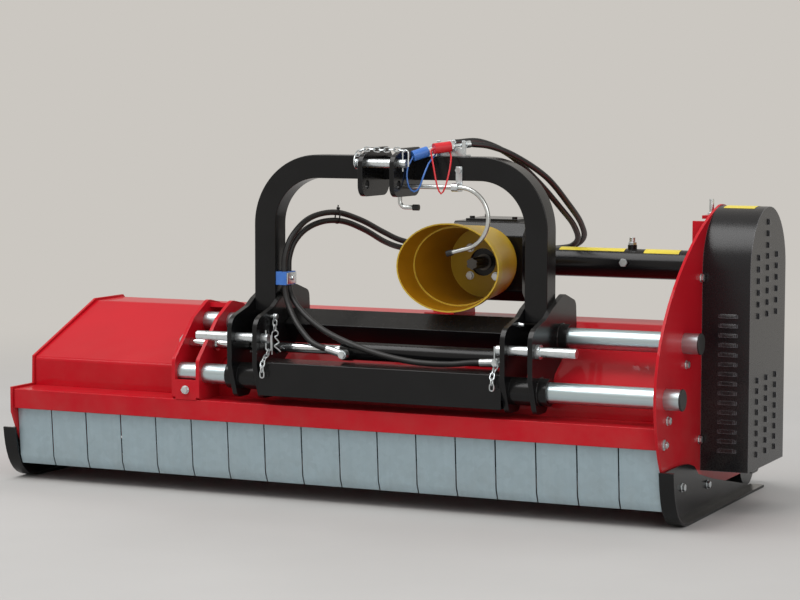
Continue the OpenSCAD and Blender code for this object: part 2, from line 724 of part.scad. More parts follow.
// Arms that carry the roller behind the side plates
axle_r = 20;
roller_z = roller_d / 2 + 2;
function arm_outline() = rounded([[708, 340, 20], [780, 340, 20], [roller_y + 42, roller_z + 20, 30],
                                  [roller_y + 42, roller_z - 38, 30], [roller_y - 40, roller_z - 38, 30],
                                  [708, 160, 20]]);

module roller_brackets() color("black")
    for (x = [left_out - skid_t, right_out])
        difference() {
            along_x(x, x + skid_t) polygon(arm_outline());
            rod_x(roller_y, roller_z, x - bore_cut, x + skid_t + bore_cut, axle_r + fit);
            for (p = arm_bolts) bolt_hole(p, x, x + skid_t);
        }

// Bolts, oil plugs and the belt tension screw
breather_r = 9;
breather_h = 14;
breather_shank = 20;
module chassis_fasteners() color("silver") {
    for (p = guard_bolts) guard_bolt(p);
    for (p = right_bolts) side_bolt_right(p, right_out);
    for (p = outer_bolts) {
        side_bolt_right(p, right_out + skid_t);
        side_bolt_left(p, left_out - skid_t);
    }
    translate([breather_x, rotor_y, drive_z + drive_tube_d / 2 + breather_boss_h]) {
        cylinder(r = washer_r, h = bolt_head_h, $fn = 6);
        translate([0, 0, bolt_head_h]) cylinder(r = breather_r, h = breather_h);
        translate([0, 0, -breather_shank]) cylinder(r = plug_r, h = breather_shank);
    }
    plug_y = rotor_y - drive_tube_d / 2 - plug_out;
    rod_y(plug_x, plug_z, plug_y, rotor_y - drive_tube_d / 2 + tube_wall - hole_gap, plug_r);
    translate([plug_x, plug_y, plug_z]) rotate([90, 0, 0]) cylinder(r = washer_r, h = bolt_head_h, $fn = 6);
    translate([tension_x, tension_y, drive_z + tube_flange_r]) cylinder(r = tension_r, h = tension_l);
    translate([tension_x, tension_y, lug_z + lug_t]) cylinder(r = washer_r, h = bolt_head_h, $fn = 6);
    tab_x = rail_left + (bracket_pitch + bracket_t) / 2;
    translate([tab_x, tab_y, beam_top_z + tab_h / 2]) rotate([90, 0, 0]) {
        cylinder(r = washer_r, h = washer_t);
        translate([0, 0, washer_t]) cylinder(r = bolt_head_r, h = bolt_head_h, $fn = 6);
    }
}

// Hydraulic cylinder: the rod is held by the bracket, the barrel by the hitch frame
module cylinder_rod() color("gainsboro") {
    rod_x(cyl_y, cyl_z, rail_left - 22, piston_x + piston_l, rod_r);
    rod_x(cyl_y, cyl_z, piston_x, piston_x + piston_l, barrel_r - barrel_wall - fit);
    hex_x(cyl_y, cyl_z, rail_left - 18, rail_left, rod_r * 1.6);
    rod_x(cyl_y, cyl_z, bracket_right, bracket_right + 10, rod_r * 1.4);
}

port_x = [barrel_left + 26, barrel_right - 40];
port_z = cyl_z - 6;
port_r = 11;
port_l = 14;
port_y = cyl_y - barrel_r - port_l;
barrel_base = 20;

module cylinder_barrel() color("black") difference() {
    union() {
        rod_x(cyl_y, cyl_z, barrel_left, barrel_right, barrel_r);
        rod_x(cyl_y, cyl_z, barrel_left, barrel_left + gland_l, barrel_r + 3);
        for (x = port_x) rod_y(x, port_z, port_y, cyl_y - barrel_r + 8, port_r);
    }
    rod_x(cyl_y, cyl_z, barrel_left - bore_cut, barrel_left + gland_l + bore_cut, rod_r + fit);
    rod_x(cyl_y, cyl_z, barrel_left + gland_l, barrel_right - barrel_base, barrel_r - barrel_wall);
}

// Link plates: two plates a side, joined by the bushes that slide on the rails
function link_outline() = rounded([
    [-51, 410, 35], [-51, 548, 45], [60, 578, 30], [98, 600, 25], [200, 640, 40], [296, 612, 25],
    [304, 525, 30], [128, 412, 20], [88, 350, 20], [62, 308, 20], [-12, 308, 25]]);

module link_pair() difference() {
    union() {
        for (x = [link_inner, link_outer]) {
            x0 = x == link_inner ? x - link_t : x;
            along_x(x0, x0 + link_t) polygon(link_outline());
        }
        for (r = rails) rod_x(r[0], r[1], link_inner - link_t, link_outer + link_t + bush_out, bush_r);
    }
    for (r = rails)
        rod_x(r[0], r[1], link_inner - link_t - bore_cut,
              link_outer + link_t + bush_out + bore_cut, rail_r + fit);
    rod_x(link_pin_y, link_pin_z, link_inner - link_t - bore_cut, link_outer + link_t + bore_cut,
          link_pin_r + hole_gap);
}

module link_plates() color("black") difference() {
    translate([hitch_x, 0, 0]) {
        link_pair();
        mirror([1, 0, 0]) link_pair();
    }
    rod_x(cyl_y, cyl_z, hitch_x - link_outer - link_t - bore_cut, hitch_x - link_inner + link_t + bore_cut,
          barrel_r * 0.75);
}

module slide_beams() color("black") {
    x0 = hitch_x - link_inner + link_t;
    x1 = hitch_x + link_inner - link_t;
    difference() {
        along_x(x0, x1) translate([rail_low_y, rail_low_z]) square([low_beam_d, low_beam_h], center = true);
        along_x(x0 - bore_cut, x1 + bore_cut) translate([rail_low_y, rail_low_z])
            square([low_beam_d - 2 * slide_wall, low_beam_h - 2 * slide_wall], center = true);
    }
    difference() {
        along_x(x0, x1) translate([rail_high_y, rail_high_z]) rotate(high_beam_turn)
            square(high_beam_s, center = true);
        along_x(x0 - bore_cut, x1 + bore_cut) translate([rail_high_y, rail_high_z]) rotate(high_beam_turn)
            square(high_beam_s - 2 * slide_wall, center = true);
    }
}

// Arch: one square tube bent to a hoop, its feet between the link plates
module arch_hoop(s, foot) {
    half = link_spread / 2;
    mid_z = arch_top_z - arch_s / 2;
    translate([-half + arch_bend, -s / 2, mid_z - s / 2]) cube([2 * (half - arch_bend), s, s]);
    for (m = [0, 1]) mirror([m, 0, 0]) {
        translate([half - arch_bend, 0, mid_z - arch_bend]) rotate([90, 0, 0])
            rotate_extrude(angle = 90, $fn = 96) translate([arch_bend, 0]) square(s, center = true);
        translate([half - s / 2, -s / 2, foot]) cube([s, s, mid_z - arch_bend - foot]);
    }
}

module arch() color("black") translate([hitch_x, arch_y, 0]) difference() {
    arch_hoop(arch_s, arch_foot_z);
    arch_hoop(arch_s - 2 * arch_wall, arch_foot_z - bore_cut);
}

// Top link bracket: two plates that fit over the arch, with two pin heights
mast_low_z = top_pin_z - 62;
function mast_outline() = rounded([
    [-50, mast_low_z - 35, 32], [-50, top_pin_z + 18, 32],
    [30, top_pin_z + 44, 25], [130, top_pin_z + 46, 20],
    [160, arch_top_z], [arch_y - arch_s / 2, arch_top_z], [arch_y - arch_s / 2, arch_top_z - arch_s],
    [150, arch_top_z - arch_s], [120, mast_low_z - 35, 40]]);

module top_link_bracket() color("black") difference() {
    for (x = [hitch_x - mast_gap / 2 - mast_t, hitch_x + mast_gap / 2])
        along_x(x, x + mast_t) polygon(mast_outline());
    for (z = [top_pin_z, mast_low_z])
        rod_x(top_pin_y, z, hitch_x - mast_gap, hitch_x + mast_gap, top_pin_r + hole_gap);
    rod_x(hook_y, hook_z, hitch_x, hitch_x + mast_gap, hook_r + fit);
}

// Pins: two lower link pins with collars and one top link pin with a ring
clip_r = 2.5;
module lower_pin() {
    x1 = link_outer + link_t;
    rod_x(link_pin_y, link_pin_z, link_inner - link_t - 22, x1 + link_pin_out, link_pin_r);
    rod_x(link_pin_y, link_pin_z, x1, x1 + 12, link_pin_r + 7);
}

module hitch_pins() color("silver") translate([hitch_x, 0, 0]) difference() {
    union() {
        lower_pin();
        mirror([1, 0, 0]) lower_pin();
        rod_x(top_pin_y, top_pin_z, -mast_gap / 2 - mast_t - top_pin_over,
              mast_gap / 2 + mast_t + top_pin_over, top_pin_r);
    }
    for (m = [0, 1]) mirror([m, 0, 0])
        translate([link_inner - link_t - clip_in, link_pin_y, link_pin_z - link_pin_d])
            cylinder(r = clip_r + hole_gap, h = 2 * link_pin_d);
    translate([mast_gap / 2 + mast_t + clip_in, top_pin_y, top_pin_z - top_pin_d])
        cylinder(r = clip_r + hole_gap, h = 2 * top_pin_d);
}

// Chain of true links, and the spring clips that it keeps with the pins
wire_r = 2;
link_in_l = 17;
link_in_w = 9;
link_slack = 1;
link_sides = 6;
link_bend_steps = 5;
chain_pitch = link_in_l - link_slack;
link_bend = link_in_w / 2 + wire_r;
link_half = link_in_l / 2 + wire_r - link_bend;

// Middle line of a link as an angle list: half a turn at each end
link_turns = [for (e = [0, 180], k = [0:link_bend_steps]) [e, e + 180 * k / link_bend_steps]];
function link_ring(t) =
    let (out = [cos(t[1]), 0, sin(t[1])], c = out * link_bend + [0, 0, t[0] == 0 ? link_half : -link_half])
    [for (j = [0:link_sides - 1])
        let (a = 360 * j / link_sides) c + wire_r * (out * cos(a) - [0, sin(a), 0])];
module chain_link() loft([for (t = link_turns) link_ring(t)], closed = true);

// Run of links in the XZ plane from the origin, one angle a link, each link across the last
module chain_run(angles) {
    for (k = [0:len(angles) - 1]) {
        x = chain_pitch * sum([for (i = [0:k]) cos(angles[i]) * (i < k ? 1 : 0.5)]);
        z = chain_pitch * sum([for (i = [0:k]) sin(angles[i]) * (i < k ? 1 : 0.5)]);
        translate([x, 0, z]) rotate([0, 90 - angles[k], 0]) rotate([0, 0, 90 * (k % 2)]) chain_link();
    }
}
function sum(v) = v * [for (e = v) 1];

// Spring clip: a leg through the pin and a curved leg outside, joined by a ring below
clip_ring_r = 9;
clip_l = 52;
clip_over = 10;
module spring_clip() {
    translate([0, 0, -clip_l]) cylinder(r = clip_r, h = clip_l);
    translate([clip_ring_r, 0, -clip_l]) rotate([-90, 0, 0]) rotate_extrude(angle = 180)
        translate([clip_ring_r, 0]) circle(clip_r, $fn = 24);
    translate([2 * clip_ring_r, 0, -clip_l]) cylinder(r = clip_r, h = clip_l - 14);
}

// Gap from the wire that a chain hangs on to the first link's joint
hang_gap = clip_r + link_slack / 2;
drape = [-50, -28, -40, -64, -88, -90];
top_drape = [46, 22, 4, -4, -6, 0, 4, 4, 0, -20];
top_ring_r = 20;
top_ring_rise = top_ring_r - clip_r - top_pin_r - hole_gap;

module clip_chains() color("silver") translate([hitch_x, 0, 0]) {
    for (m = [0, 1]) mirror([m, 0, 0]) {
        x = link_inner - link_t - clip_in;
        z = link_pin_z + link_pin_r + clip_over;
        translate([x, link_pin_y, z]) rotate([0, 0, 180]) spring_clip();
        translate([x - clip_ring_r, link_pin_y + hang_gap * cos(drape[0]),
                   z - clip_l - clip_ring_r - hang_gap * sin(drape[0])])
            rotate([0, 0, -90]) chain_run(drape);
    }
    translate([mast_gap / 2 + mast_t + clip_in, top_pin_y, top_pin_z - top_pin_r - clip_over])
        mirror([0, 0, 1]) spring_clip();
    translate([-mast_gap / 2 - mast_t - ring_in, top_pin_y, top_pin_z + top_ring_rise]) {
        rotate([0, 90, 0]) rotate_extrude() translate([top_ring_r, 0]) circle(clip_r, $fn = 24);
        translate([-hang_gap * cos(top_drape[0]), 0, top_ring_r - hang_gap * sin(top_drape[0])])
            chain_run(top_drape);
    }
}

// Hoses: points chosen by hand, counted from the middle of the hitch frame
leg_foot_z = 560;
leg_rise = 476;
leg_share = (arch_top_z - leg_foot_z) / leg_rise;
function up_leg(x, y, z) = [x, y, leg_foot_z + (z - leg_foot_z) * leg_share];
clamp_z = up_leg(0, 0, 641)[2];
clamp_h = 40;
clamp_slack = 1.8;
clamp_way_x = -384;
clamp_way_y = [118, 146];
banjo_w = 24;
hose_y = port_y - banjo_w / 2;
function over_arch(x, y, z) = [x, y, arch_top_z + z];
left_route = [
    [-196, hose_y, port_z + 14], [-224, hose_y + 1.5, port_z + 21], [-254, 35, 483], [-288, 54, 505],
    [-326, 80, 534], [-357, 102, 570], up_leg(-376, 114, 606),
    [clamp_way_x, clamp_way_y[0], clamp_z], [clamp_way_x, clamp_way_y[0], clamp_z + clamp_h],
    up_leg(-383, 121, 730), up_leg(-370, 144, 788), up_leg(-340, 202, 840), up_leg(-300, 294, 854),
    up_leg(-266, 405, 826), up_leg(-244, 520, 784), [-224, 616, 752], [-172, 690, 733],
    [-80, 720, 726], [100, 722, 728],
    [290, 716, 738], [370, 670, 770],
    over_arch(402, 570, -214), over_arch(404, 460, -152), over_arch(378, 340, -66), over_arch(320, 240, -2),
    over_arch(264, 184, 28), over_arch(213.5, 144, 36)];
right_route = [
    [298, hose_y, port_z - 3], [266, hose_y, port_z - 5], [200, 25, 437], [100, 25, 437], [0, 27, 450],
    [-100, 34, 474], [-205, 58, 506], [-284, 92, 541], [-340, 122, 576], up_leg(-372, 140, 609),
    [clamp_way_x, clamp_way_y[1], clamp_z], [clamp_way_x, clamp_way_y[1], clamp_z + clamp_h],
    up_leg(-383, 149, 724), up_leg(-373, 166, 770), up_leg(-350, 202, 808), up_leg(-318, 258, 828),
    up_leg(-286, 330, 824), up_leg(-258, 420, 794), [-240, 520, 754], [-226, 606, 731],
    [-180, 670, 720], [-84, 696, 716],
    [100, 694, 718], [272, 690, 730],
    [356, 652, 762], over_arch(384, 556, -220), over_arch(378, 450, -158), over_arch(346, 344, -76),
    over_arch(292, 252, 4), over_arch(226, 190, 42), over_arch(166, 142, 40)];
hose_sides = 10;
hose_steps = 2;
function last(v) = v[len(v) - 1];

module hose(route) translate([hitch_x, 0, 0]) tube_along(route, hose_d / 2, hose_sides, hose_steps);
module hose_left() color("black") hose(left_route);
module hose_right() color("black") hose(right_route);

// Clamp on the inner face of the left arch leg
clamp_w = 36;
clamp_edge = 16;
module hose_clamp() color("royalblue") translate([hitch_x, 0, clamp_z]) difference() {
    translate([-link_inner, clamp_way_y[0] - clamp_edge, 0])
        cube([clamp_w, clamp_way_y[1] - clamp_way_y[0] + 2 * clamp_edge, clamp_h]);
    for (y = clamp_way_y) translate([clamp_way_x, y, -bore_cut])
        cylinder(r = hose_d / 2 + clamp_slack, h = clamp_h + 2 * bore_cut);
}

// Child that stands on +Z, laid from a along a direction, and a round bar between two points
module laid(a, way) translate(a) rotate([0, acos(way[2]), atan2(way[1], way[0])]) children();
module bar(a, b, r) laid(a, unit(b - a)) cylinder(r = r, h = norm(b - a));

// Fittings at the cylinder ports: a banjo with its bolt, and a ferrule that grips the hose
banjo_r = 13;
banjo_head = 8;
ferrule_r = 11.5;
module hose_fitting(x, hose_end) {
    rod_y(x, port_z, port_y - banjo_w, port_y, banjo_r);
    translate([x, port_y - banjo_w, port_z]) rotate([90, 0, 0])
        cylinder(r = bolt_head_r, h = banjo_head, $fn = 6);
    bar([x, hose_end[1], port_z], hose_end, ferrule_r);
}

module hose_fittings() color("silver") {
    hose_fitting(port_x[0], left_route[0] + [hitch_x, 0, 0]);
    hose_fitting(port_x[1], right_route[0] + [hitch_x, 0, 0]);
}

// Parking plate for the hose couplings, with a notch for each neck
park_x = [119, 211];
park_y = 116;
park_t = 5;
park_h = 46;
park_foot = 40;
neck_r = 5.5;
notch_w = 22;
notch_slack = 2;
red_neck = [188, park_y + park_t / 2, arch_top_z + 32];
blue_neck = [142, park_y + park_t / 2, arch_top_z + 30];

module coupler_bracket() color("lightgray") translate([hitch_x, 0, 0]) difference() {
    translate([park_x[0], park_y, arch_top_z]) {
        cube([park_x[1] - park_x[0], park_t, park_h]);
        cube([park_x[1] - park_x[0], park_foot, park_t]);
    }
    for (n = [red_neck, blue_neck])
        translate([n[0] - notch_w / 2, park_y - bore_cut, n[2] - neck_r - notch_slack])
            cube([notch_w, park_t + 2 * bore_cut, park_h]);
}

// Couplings: a neck from the hose through the notch, then a body whose nose the cap covers.
// A reach gives the places of body, hexagon, lanyard ring, cap and cap end in front of the neck.
red_way = unit(red_neck - last(left_route));
blue_way = unit(blue_neck - last(right_route));
red_reach = [17, 20, 26.3, 30, 78];
blue_reach = [19, 24, 30.3, 54, 102];
coupler_r = 12;
coupler_hex_r = 15;
coupler_hex_w = 6;
swage_l = 14;
swage_r = 10.5;
nose_r = 11;
nose_l = 20;
cap_r = 15.5;
lanyard_r = 2.5;
lanyard_w = 3.2;
lanyard_gap = 1.5;

module coupler(neck, from, way, reach) laid(from, way) {
    n = norm(neck - from);
    rotate_extrude() polygon([
        [0, 0], [swage_r, 0], [swage_r, swage_l], [neck_r, swage_l], [neck_r, n + reach[0]],
        [coupler_r, n + reach[0]], [coupler_r, n + reach[3] - hole_gap], [nose_r, n + reach[3] - hole_gap],
        [nose_r, n + reach[3] + nose_l], [0, n + reach[3] + nose_l]]);
    translate([0, 0, n + reach[1]]) cylinder(r = coupler_hex_r, h = coupler_hex_w, $fn = 6);
}

module quick_couplers() color("silver") translate([hitch_x, 0, 0]) {
    coupler(red_neck, last(left_route), red_way, red_reach);
    coupler(blue_neck, last(right_route), blue_way, blue_reach);
}

// Dust caps: each is moulded with its lanyard and a ring round the coupling
module dust_cap(neck, way, reach, loop) {
    tip = neck + way * reach[4];
    ring = neck + way * reach[2];
    under = unit([0, 0, -1] + way * way[2]) * (coupler_r + lanyard_r + lanyard_gap);
    difference() {
        bar(neck + way * reach[3], tip, cap_r);
        bar(neck + way * (reach[3] - bore_cut), neck + way * (reach[3] + nose_l + hole_gap),
            nose_r + hole_gap);
    }
    difference() {
        bar(ring, ring + way * lanyard_w, cap_r);
        bar(ring - way, ring + way * (lanyard_w + bore_cut), coupler_r + hole_gap);
    }
    tie = ring + way * (lanyard_r + hole_gap) + under;
    tube_along(concat([tip - way * lanyard_r], loop, [tie]), lanyard_r, 8, 2);
}

red_loop = [
    over_arch(126, 60, 18), over_arch(132, 52, 0), over_arch(142, 46, -36), over_arch(154, 40, -82),
    over_arch(168, 38, -106), over_arch(181, 40, -84), over_arch(188, 54, -36), over_arch(182, 78, -2)];
blue_loop = [
    over_arch(68, 44, -14), over_arch(62, 37, -32), over_arch(62, 31, -58), over_arch(71, 27, -88),
    over_arch(88, 26, -101), over_arch(104, 28, -88), over_arch(112, 36, -58), over_arch(117, 64, -20)];

module red_dust_cap() color("red") translate([hitch_x, 0, 0])
    dust_cap(red_neck, red_way, red_reach, red_loop);
module blue_dust_cap() color("blue") translate([hitch_x, 0, 0])
    dust_cap(blue_neck, blue_way, blue_reach, blue_loop);

// Strap that carries the parking hook on the arch's front face
strap_w = 20;
strap_t = 5;
strap_h = 72;
strap_eye = 6;
module hook_strap() color("lightgray") difference() {
    face = arch_y - arch_s / 2;
    x0 = hook_strap_x - strap_w / 2;
    low = hook_z - hook_r - strap_eye;
    union() {
        translate([x0, face - strap_t, low]) cube([strap_w, strap_t, strap_h]);
        translate([x0, hook_y, low]) cube([strap_w, face - hook_y, strap_t]);
        rod_x(hook_y, hook_z, x0, x0 + strap_w, hook_r + strap_eye);
        translate([hook_strap_x, face - strap_t, low + strap_h - bolt_head_r]) rotate([90, 0, 0])
            cylinder(r = strap_w / 2, h = bolt_head_h, $fn = 6);
    }
    rod_x(hook_y, hook_z, x0 - bore_cut, x0 + strap_w + bore_cut, hook_r + fit);
}

// Parking hook: a straight journal with a wide hook at one end and a small one at the other
hook_bend = 90;
hook_sweep = 165;
hook_tail = 62;
j_drop = 61;
j_tail = 58;
tip_l = 16;
tip_r = 9;
core_r = 5;
core_in = 3;
module wire_bend(r, from, sweep) rotate([90, 0, 0]) rotate([0, 0, from]) rotate_extrude(angle = sweep)
    translate([r, 0]) circle(hook_r);

// Straight stretch of the wire, with a core that ties it to the bends at its ends
module wire_run(a, b) {
    way = unit(b - a);
    bar(a, b, hook_r);
    bar(a - way * core_in, b + way * core_in, core_r);
}

module pto_hook() color("lightgray") {
    x1 = hook_strap_x + strap_w / 2 + 4;
    tail_turn = 90 - hook_sweep;
    tail = [x1 + hook_bend * cos(tail_turn), hook_y, hook_z - hook_bend + hook_bend * sin(tail_turn)];
    way = [sin(tail_turn), 0, -cos(tail_turn)];
    xj = hook_left_x + j_bend;
    wire_run([xj, hook_y, hook_z], [x1, hook_y, hook_z]);
    translate([x1, hook_y, hook_z - hook_bend]) wire_bend(hook_bend, tail_turn, hook_sweep);
    wire_run(tail, tail + way * hook_tail);
    bar(tail + way * (hook_tail - tip_l), tail + way * (hook_tail + core_in), tip_r);
    translate([xj, hook_y, hook_z - j_bend]) wire_bend(j_bend, 90, 90);
    wire_run([hook_left_x, hook_y, hook_z - j_bend], [hook_left_x, hook_y, hook_z - j_drop + j_bend]);
    translate([xj, hook_y, hook_z - j_drop + j_bend]) wire_bend(j_bend, 180, 90);
    wire_run([xj, hook_y, hook_z - j_drop], [hook_left_x + j_tail, hook_y, hook_z - j_drop]);
    rod_x(hook_y, hook_z - j_drop, hook_left_x + j_tail - tip_l, hook_left_x + j_tail + core_in, tip_r);
}

// Rotor: a tube with lugs in two rows, and pins that the hammers swing on
ear_w = 12;
hammer_eye_w = 48;
hammer_pitch = chamber_w / hammer_count;
hammer_pin = 10;
lug_r = 22;
rotor_end = 12;
function hammer_x(row, k) = hammer_pitch * (k + (row == 0 ? 0.3 : 0.7));

module hammer_lugs(row) {
    side = row == 0 ? -1 : 1;
    for (k = [0:hammer_count - 1], e = [-1, 1]) {
        x = hammer_x(row, k) + e * (hammer_eye_w / 2 + 1 + ear_w / 2) - ear_w / 2;
        rod_x(rotor_y + side * hammer_pin_r, rotor_z, x, x + ear_w, lug_r);
        translate([x, rotor_y + (side < 0 ? -hammer_pin_r : 0), rotor_z - lug_r])
            cube([ear_w, hammer_pin_r, 2 * lug_r]);
    }
    for (k = [0:hammer_count - 1])
        rod_x(rotor_y + side * hammer_pin_r, rotor_z, hammer_x(row, k) - hammer_eye_w / 2 - 1 - ear_w - 6,
              hammer_x(row, k) + hammer_eye_w / 2 + 1 + ear_w + 6, hammer_pin);
}

module rotor() color("dimgray") {
    difference() {
        union() {
            rod_x(rotor_y, rotor_z, rotor_end, chamber_w - rotor_end, rotor_d / 2);
            hammer_lugs(0);
            hammer_lugs(1);
        }
        rod_x(rotor_y, rotor_z, rotor_end + 20, chamber_w - rotor_end - 20, rotor_d / 2 - 10);
    }
    rod_x(rotor_y, rotor_z, left_out - bearing_w + 4, rotor_end + 1, rotor_shaft_r);
    rod_x(rotor_y, rotor_z, chamber_w - rotor_end - 1, pulley_x + pulley_w, rotor_shaft_r);
}

// Hammer: an eye on the pin and a blade that widens to a heavy curved edge
function hammer_front() = [[-hammer_eye_w / 2, 14], [hammer_eye_w / 2, 14], [hammer_eye_w / 2, -30],
    [58, -58], [62, -hammer_l], [-62, -hammer_l], [-58, -58], [-hammer_eye_w / 2, -30]];
module hammer() difference() {
    union() {
        rotate([0, 90, 0]) cylinder(r = 17, h = hammer_eye_w, center = true);
        translate([0, 9, 0]) rotate([90, 0, 0]) linear_extrude(18)
            polygon([for (p = hammer_front()) [p[0], min(p[1], 0)]]);
    }
    rotate([0, 90, 0]) cylinder(r = hammer_pin + fit, h = 4 * hammer_eye_w, center = true);
}

module hammers(row)
    for (k = [0:hammer_count - 1])
        translate([hammer_x(row, k), rotor_y + (row == 0 ? -1 : 1) * hammer_pin_r, rotor_z]) hammer();
module hammers_front() color("gray") hammers(0);
module hammers_rear() color("gray") hammers(1);

module cross_shaft() color("silver")
    rod_x(rotor_y, drive_z, pto_x + 45, pulley_x + pulley_w, cross_shaft_r);

// Input stub with six splines
spline_r = 17.4;
spline_root = 14.7;
spline_l = 95;
module pto_shaft() color("silver") {
    rod_y(pto_x, drive_z, cone_y - 4, rotor_y - 45, pto_shaft_r);
    rod_y(pto_x, drive_z, cone_y - spline_l, cone_y, spline_root);
    for (k = [0:5]) translate([pto_x, 0, drive_z]) rotate([0, 60 * k, 0])
        translate([-4.3, cone_y - spline_l, 0]) cube([8.6, spline_l, spline_r]);
}

module rear_roller() color("black") {
    difference() {
        rod_x(roller_y, roller_z, rotor_end, chamber_w - rotor_end, roller_d / 2);
        rod_x(roller_y, roller_z, rotor_end + 10, chamber_w - rotor_end - 10, roller_d / 2 - 6);
    }
    rod_x(roller_y, roller_z, left_out - skid_t - 8, rotor_end + 1, axle_r);
    rod_x(roller_y, roller_z, chamber_w - rotor_end - 1, right_out + skid_t + 8, axle_r);
}

// Flap: an eye rolled round the rod and a plate whose lower edge is bent inward
flap_lean = 12;
flap_hem = 28;
flap_hem_in = 12;
module flap(i) color("lightslategray") difference() {
    x0 = i * flap_pitch + flap_gap / 2;
    x1 = (i + 1) * flap_pitch - flap_gap / 2;
    union() {
        rod_x(flap_hinge_y, flap_hinge_z, x0, x1, flap_eye_r);
        along_x(x0, x1) translate([flap_hinge_y - flap_t / 2, flap_hinge_z])
            polygon(sheet([[flap_lean + flap_hem_in, -flap_drop], [flap_lean, flap_hem - flap_drop],
                           [0, -flap_rod_r - 1]], flap_t));
    }
    rod_x(flap_hinge_y, flap_hinge_z, x0 - bore_cut, x1 + bore_cut, flap_rod_r + fit);
}

placed() rotor_hood();
placed() front_beam();
placed() left_side_plate();
placed() right_side_plate();
placed() skids();
placed() guide_rails();
placed() rail_caps();
placed() rail_bracket();
placed() gearbox();
placed() drive_tube();
placed() pto_guard();
placed() belt_guard();
placed() v_belts();
placed() rotor_bearings();
placed() flap_rod();
placed() roller_brackets();
placed() chassis_fasteners();
placed() cylinder_rod();
placed() link_plates();
placed() slide_beams();
placed() arch();
placed() top_link_bracket();
placed() hitch_pins();
placed() clip_chains();
placed() cylinder_barrel();
placed() hose_left();
placed() hose_right();
placed() hose_clamp();
placed() hose_fittings();
placed() coupler_bracket();
placed() quick_couplers();
placed() red_dust_cap();
placed() blue_dust_cap();
placed() hook_strap();
placed() pto_hook();
placed() rotor();
placed() driven_pulley();
placed() hammers_front();
placed() hammers_rear();
placed() cross_shaft();
placed() drive_pulley();
placed() pto_shaft();
placed() rear_roller();
for (i = [0:len(flap_nodes) - 1])
    placed() flap(i);
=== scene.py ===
import json
from math import cos, radians, sin

import bpy
from mathutils import Matrix, Vector

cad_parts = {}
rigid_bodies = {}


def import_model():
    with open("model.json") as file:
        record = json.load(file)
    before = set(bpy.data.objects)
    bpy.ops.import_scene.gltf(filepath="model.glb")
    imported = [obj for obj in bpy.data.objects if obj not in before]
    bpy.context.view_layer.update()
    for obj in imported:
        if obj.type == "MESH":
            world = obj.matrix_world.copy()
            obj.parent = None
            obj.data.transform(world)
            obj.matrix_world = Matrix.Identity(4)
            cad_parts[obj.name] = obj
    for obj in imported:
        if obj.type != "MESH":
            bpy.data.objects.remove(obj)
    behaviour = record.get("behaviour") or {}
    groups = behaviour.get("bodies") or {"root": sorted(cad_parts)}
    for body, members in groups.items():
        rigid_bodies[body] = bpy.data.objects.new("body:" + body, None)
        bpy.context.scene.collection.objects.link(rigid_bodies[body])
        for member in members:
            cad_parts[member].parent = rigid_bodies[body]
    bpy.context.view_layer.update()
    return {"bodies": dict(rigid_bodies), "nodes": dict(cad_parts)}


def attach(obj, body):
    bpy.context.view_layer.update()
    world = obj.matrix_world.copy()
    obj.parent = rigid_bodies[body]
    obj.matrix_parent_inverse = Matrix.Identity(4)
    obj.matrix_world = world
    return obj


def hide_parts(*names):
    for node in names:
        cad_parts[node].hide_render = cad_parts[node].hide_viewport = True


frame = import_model()
cadNodes = frame["nodes"]
mm = 0.001

bpy.context.scene.view_settings.view_transform = "Standard"


def toLinear(hexCode):
    channels = [int(hexCode[i : i + 2], 16) / 255 for i in (1, 3, 5)]
    return [c / 12.92 if c <= 0.04045 else ((c + 0.055) / 1.055) ** 2.4 for c in channels] + [1.0]


def addNode(tree, kind, inputs=None, **settings):
    node = tree.nodes.new(kind)
    for name, value in settings.items():
        setattr(node, name, value)
    for socket, value in (inputs or {}).items():
        if isinstance(value, bpy.types.NodeSocket):
            tree.links.new(value, node.inputs[socket])
        else:
            node.inputs[socket].default_value = value
    return node


def startMaterial(name, **sockets):
    material = bpy.data.materials.new(name)
    material.use_nodes = True
    tree = material.node_tree
    surface = tree.nodes["Principled BSDF"]
    for socket, value in sockets.items():
        surface.inputs[socket.replace("_", " ")].default_value = value
    place = addNode(tree, "ShaderNodeTexCoord").outputs["Object"]
    return material, tree, surface, place


def blend(tree, share, low, high):  # each end is a hex code or a socket
    ends = [toLinear(end) if isinstance(end, str) else end for end in (low, high)]
    return addNode(tree, "ShaderNodeMix", {0: share, 6: ends[0], 7: ends[1]}, data_type="RGBA").outputs[2]


def noise(tree, place, size, detail):  # size in mm
    cells = addNode(tree, "ShaderNodeTexNoise", {"Vector": place, "Scale": 1 / (size * mm), "Detail": detail})
    return cells.outputs["Fac"]


def streaks(tree, place, scale, detail):  # noise drawn out along an axis
    drawn = addNode(tree, "ShaderNodeMapping", {"Vector": place, "Scale": scale}).outputs[0]
    cells = addNode(tree, "ShaderNodeTexNoise", {"Vector": drawn, "Scale": 1.0, "Detail": detail})
    return cells.outputs["Fac"]


def product(tree, first, second):
    return addNode(tree, "ShaderNodeMath", {0: first, 1: second}, operation="MULTIPLY").outputs[0]


def setGloss(tree, surface, share, smooth, rough):
    spread = addNode(tree, "ShaderNodeMapRange", {"Value": share, "To Min": smooth, "To Max": rough})
    tree.links.new(spread.outputs[0], surface.inputs["Roughness"])


def setGrain(tree, surface, height, strength, depth):  # depth in mm
    bump = addNode(tree, "ShaderNodeBump", {"Height": height, "Strength": strength, "Distance": depth * mm})
    tree.links.new(bump.outputs[0], surface.inputs["Normal"])


def deselectAll():
    if bpy.context.object and bpy.context.object.mode != "OBJECT":
        bpy.ops.object.mode_set(mode="OBJECT")
    bpy.ops.object.select_all(action="DESELECT")


def keepOnly(piece):
    deselectAll()
    piece.select_set(True)
    bpy.context.view_layer.objects.active = piece


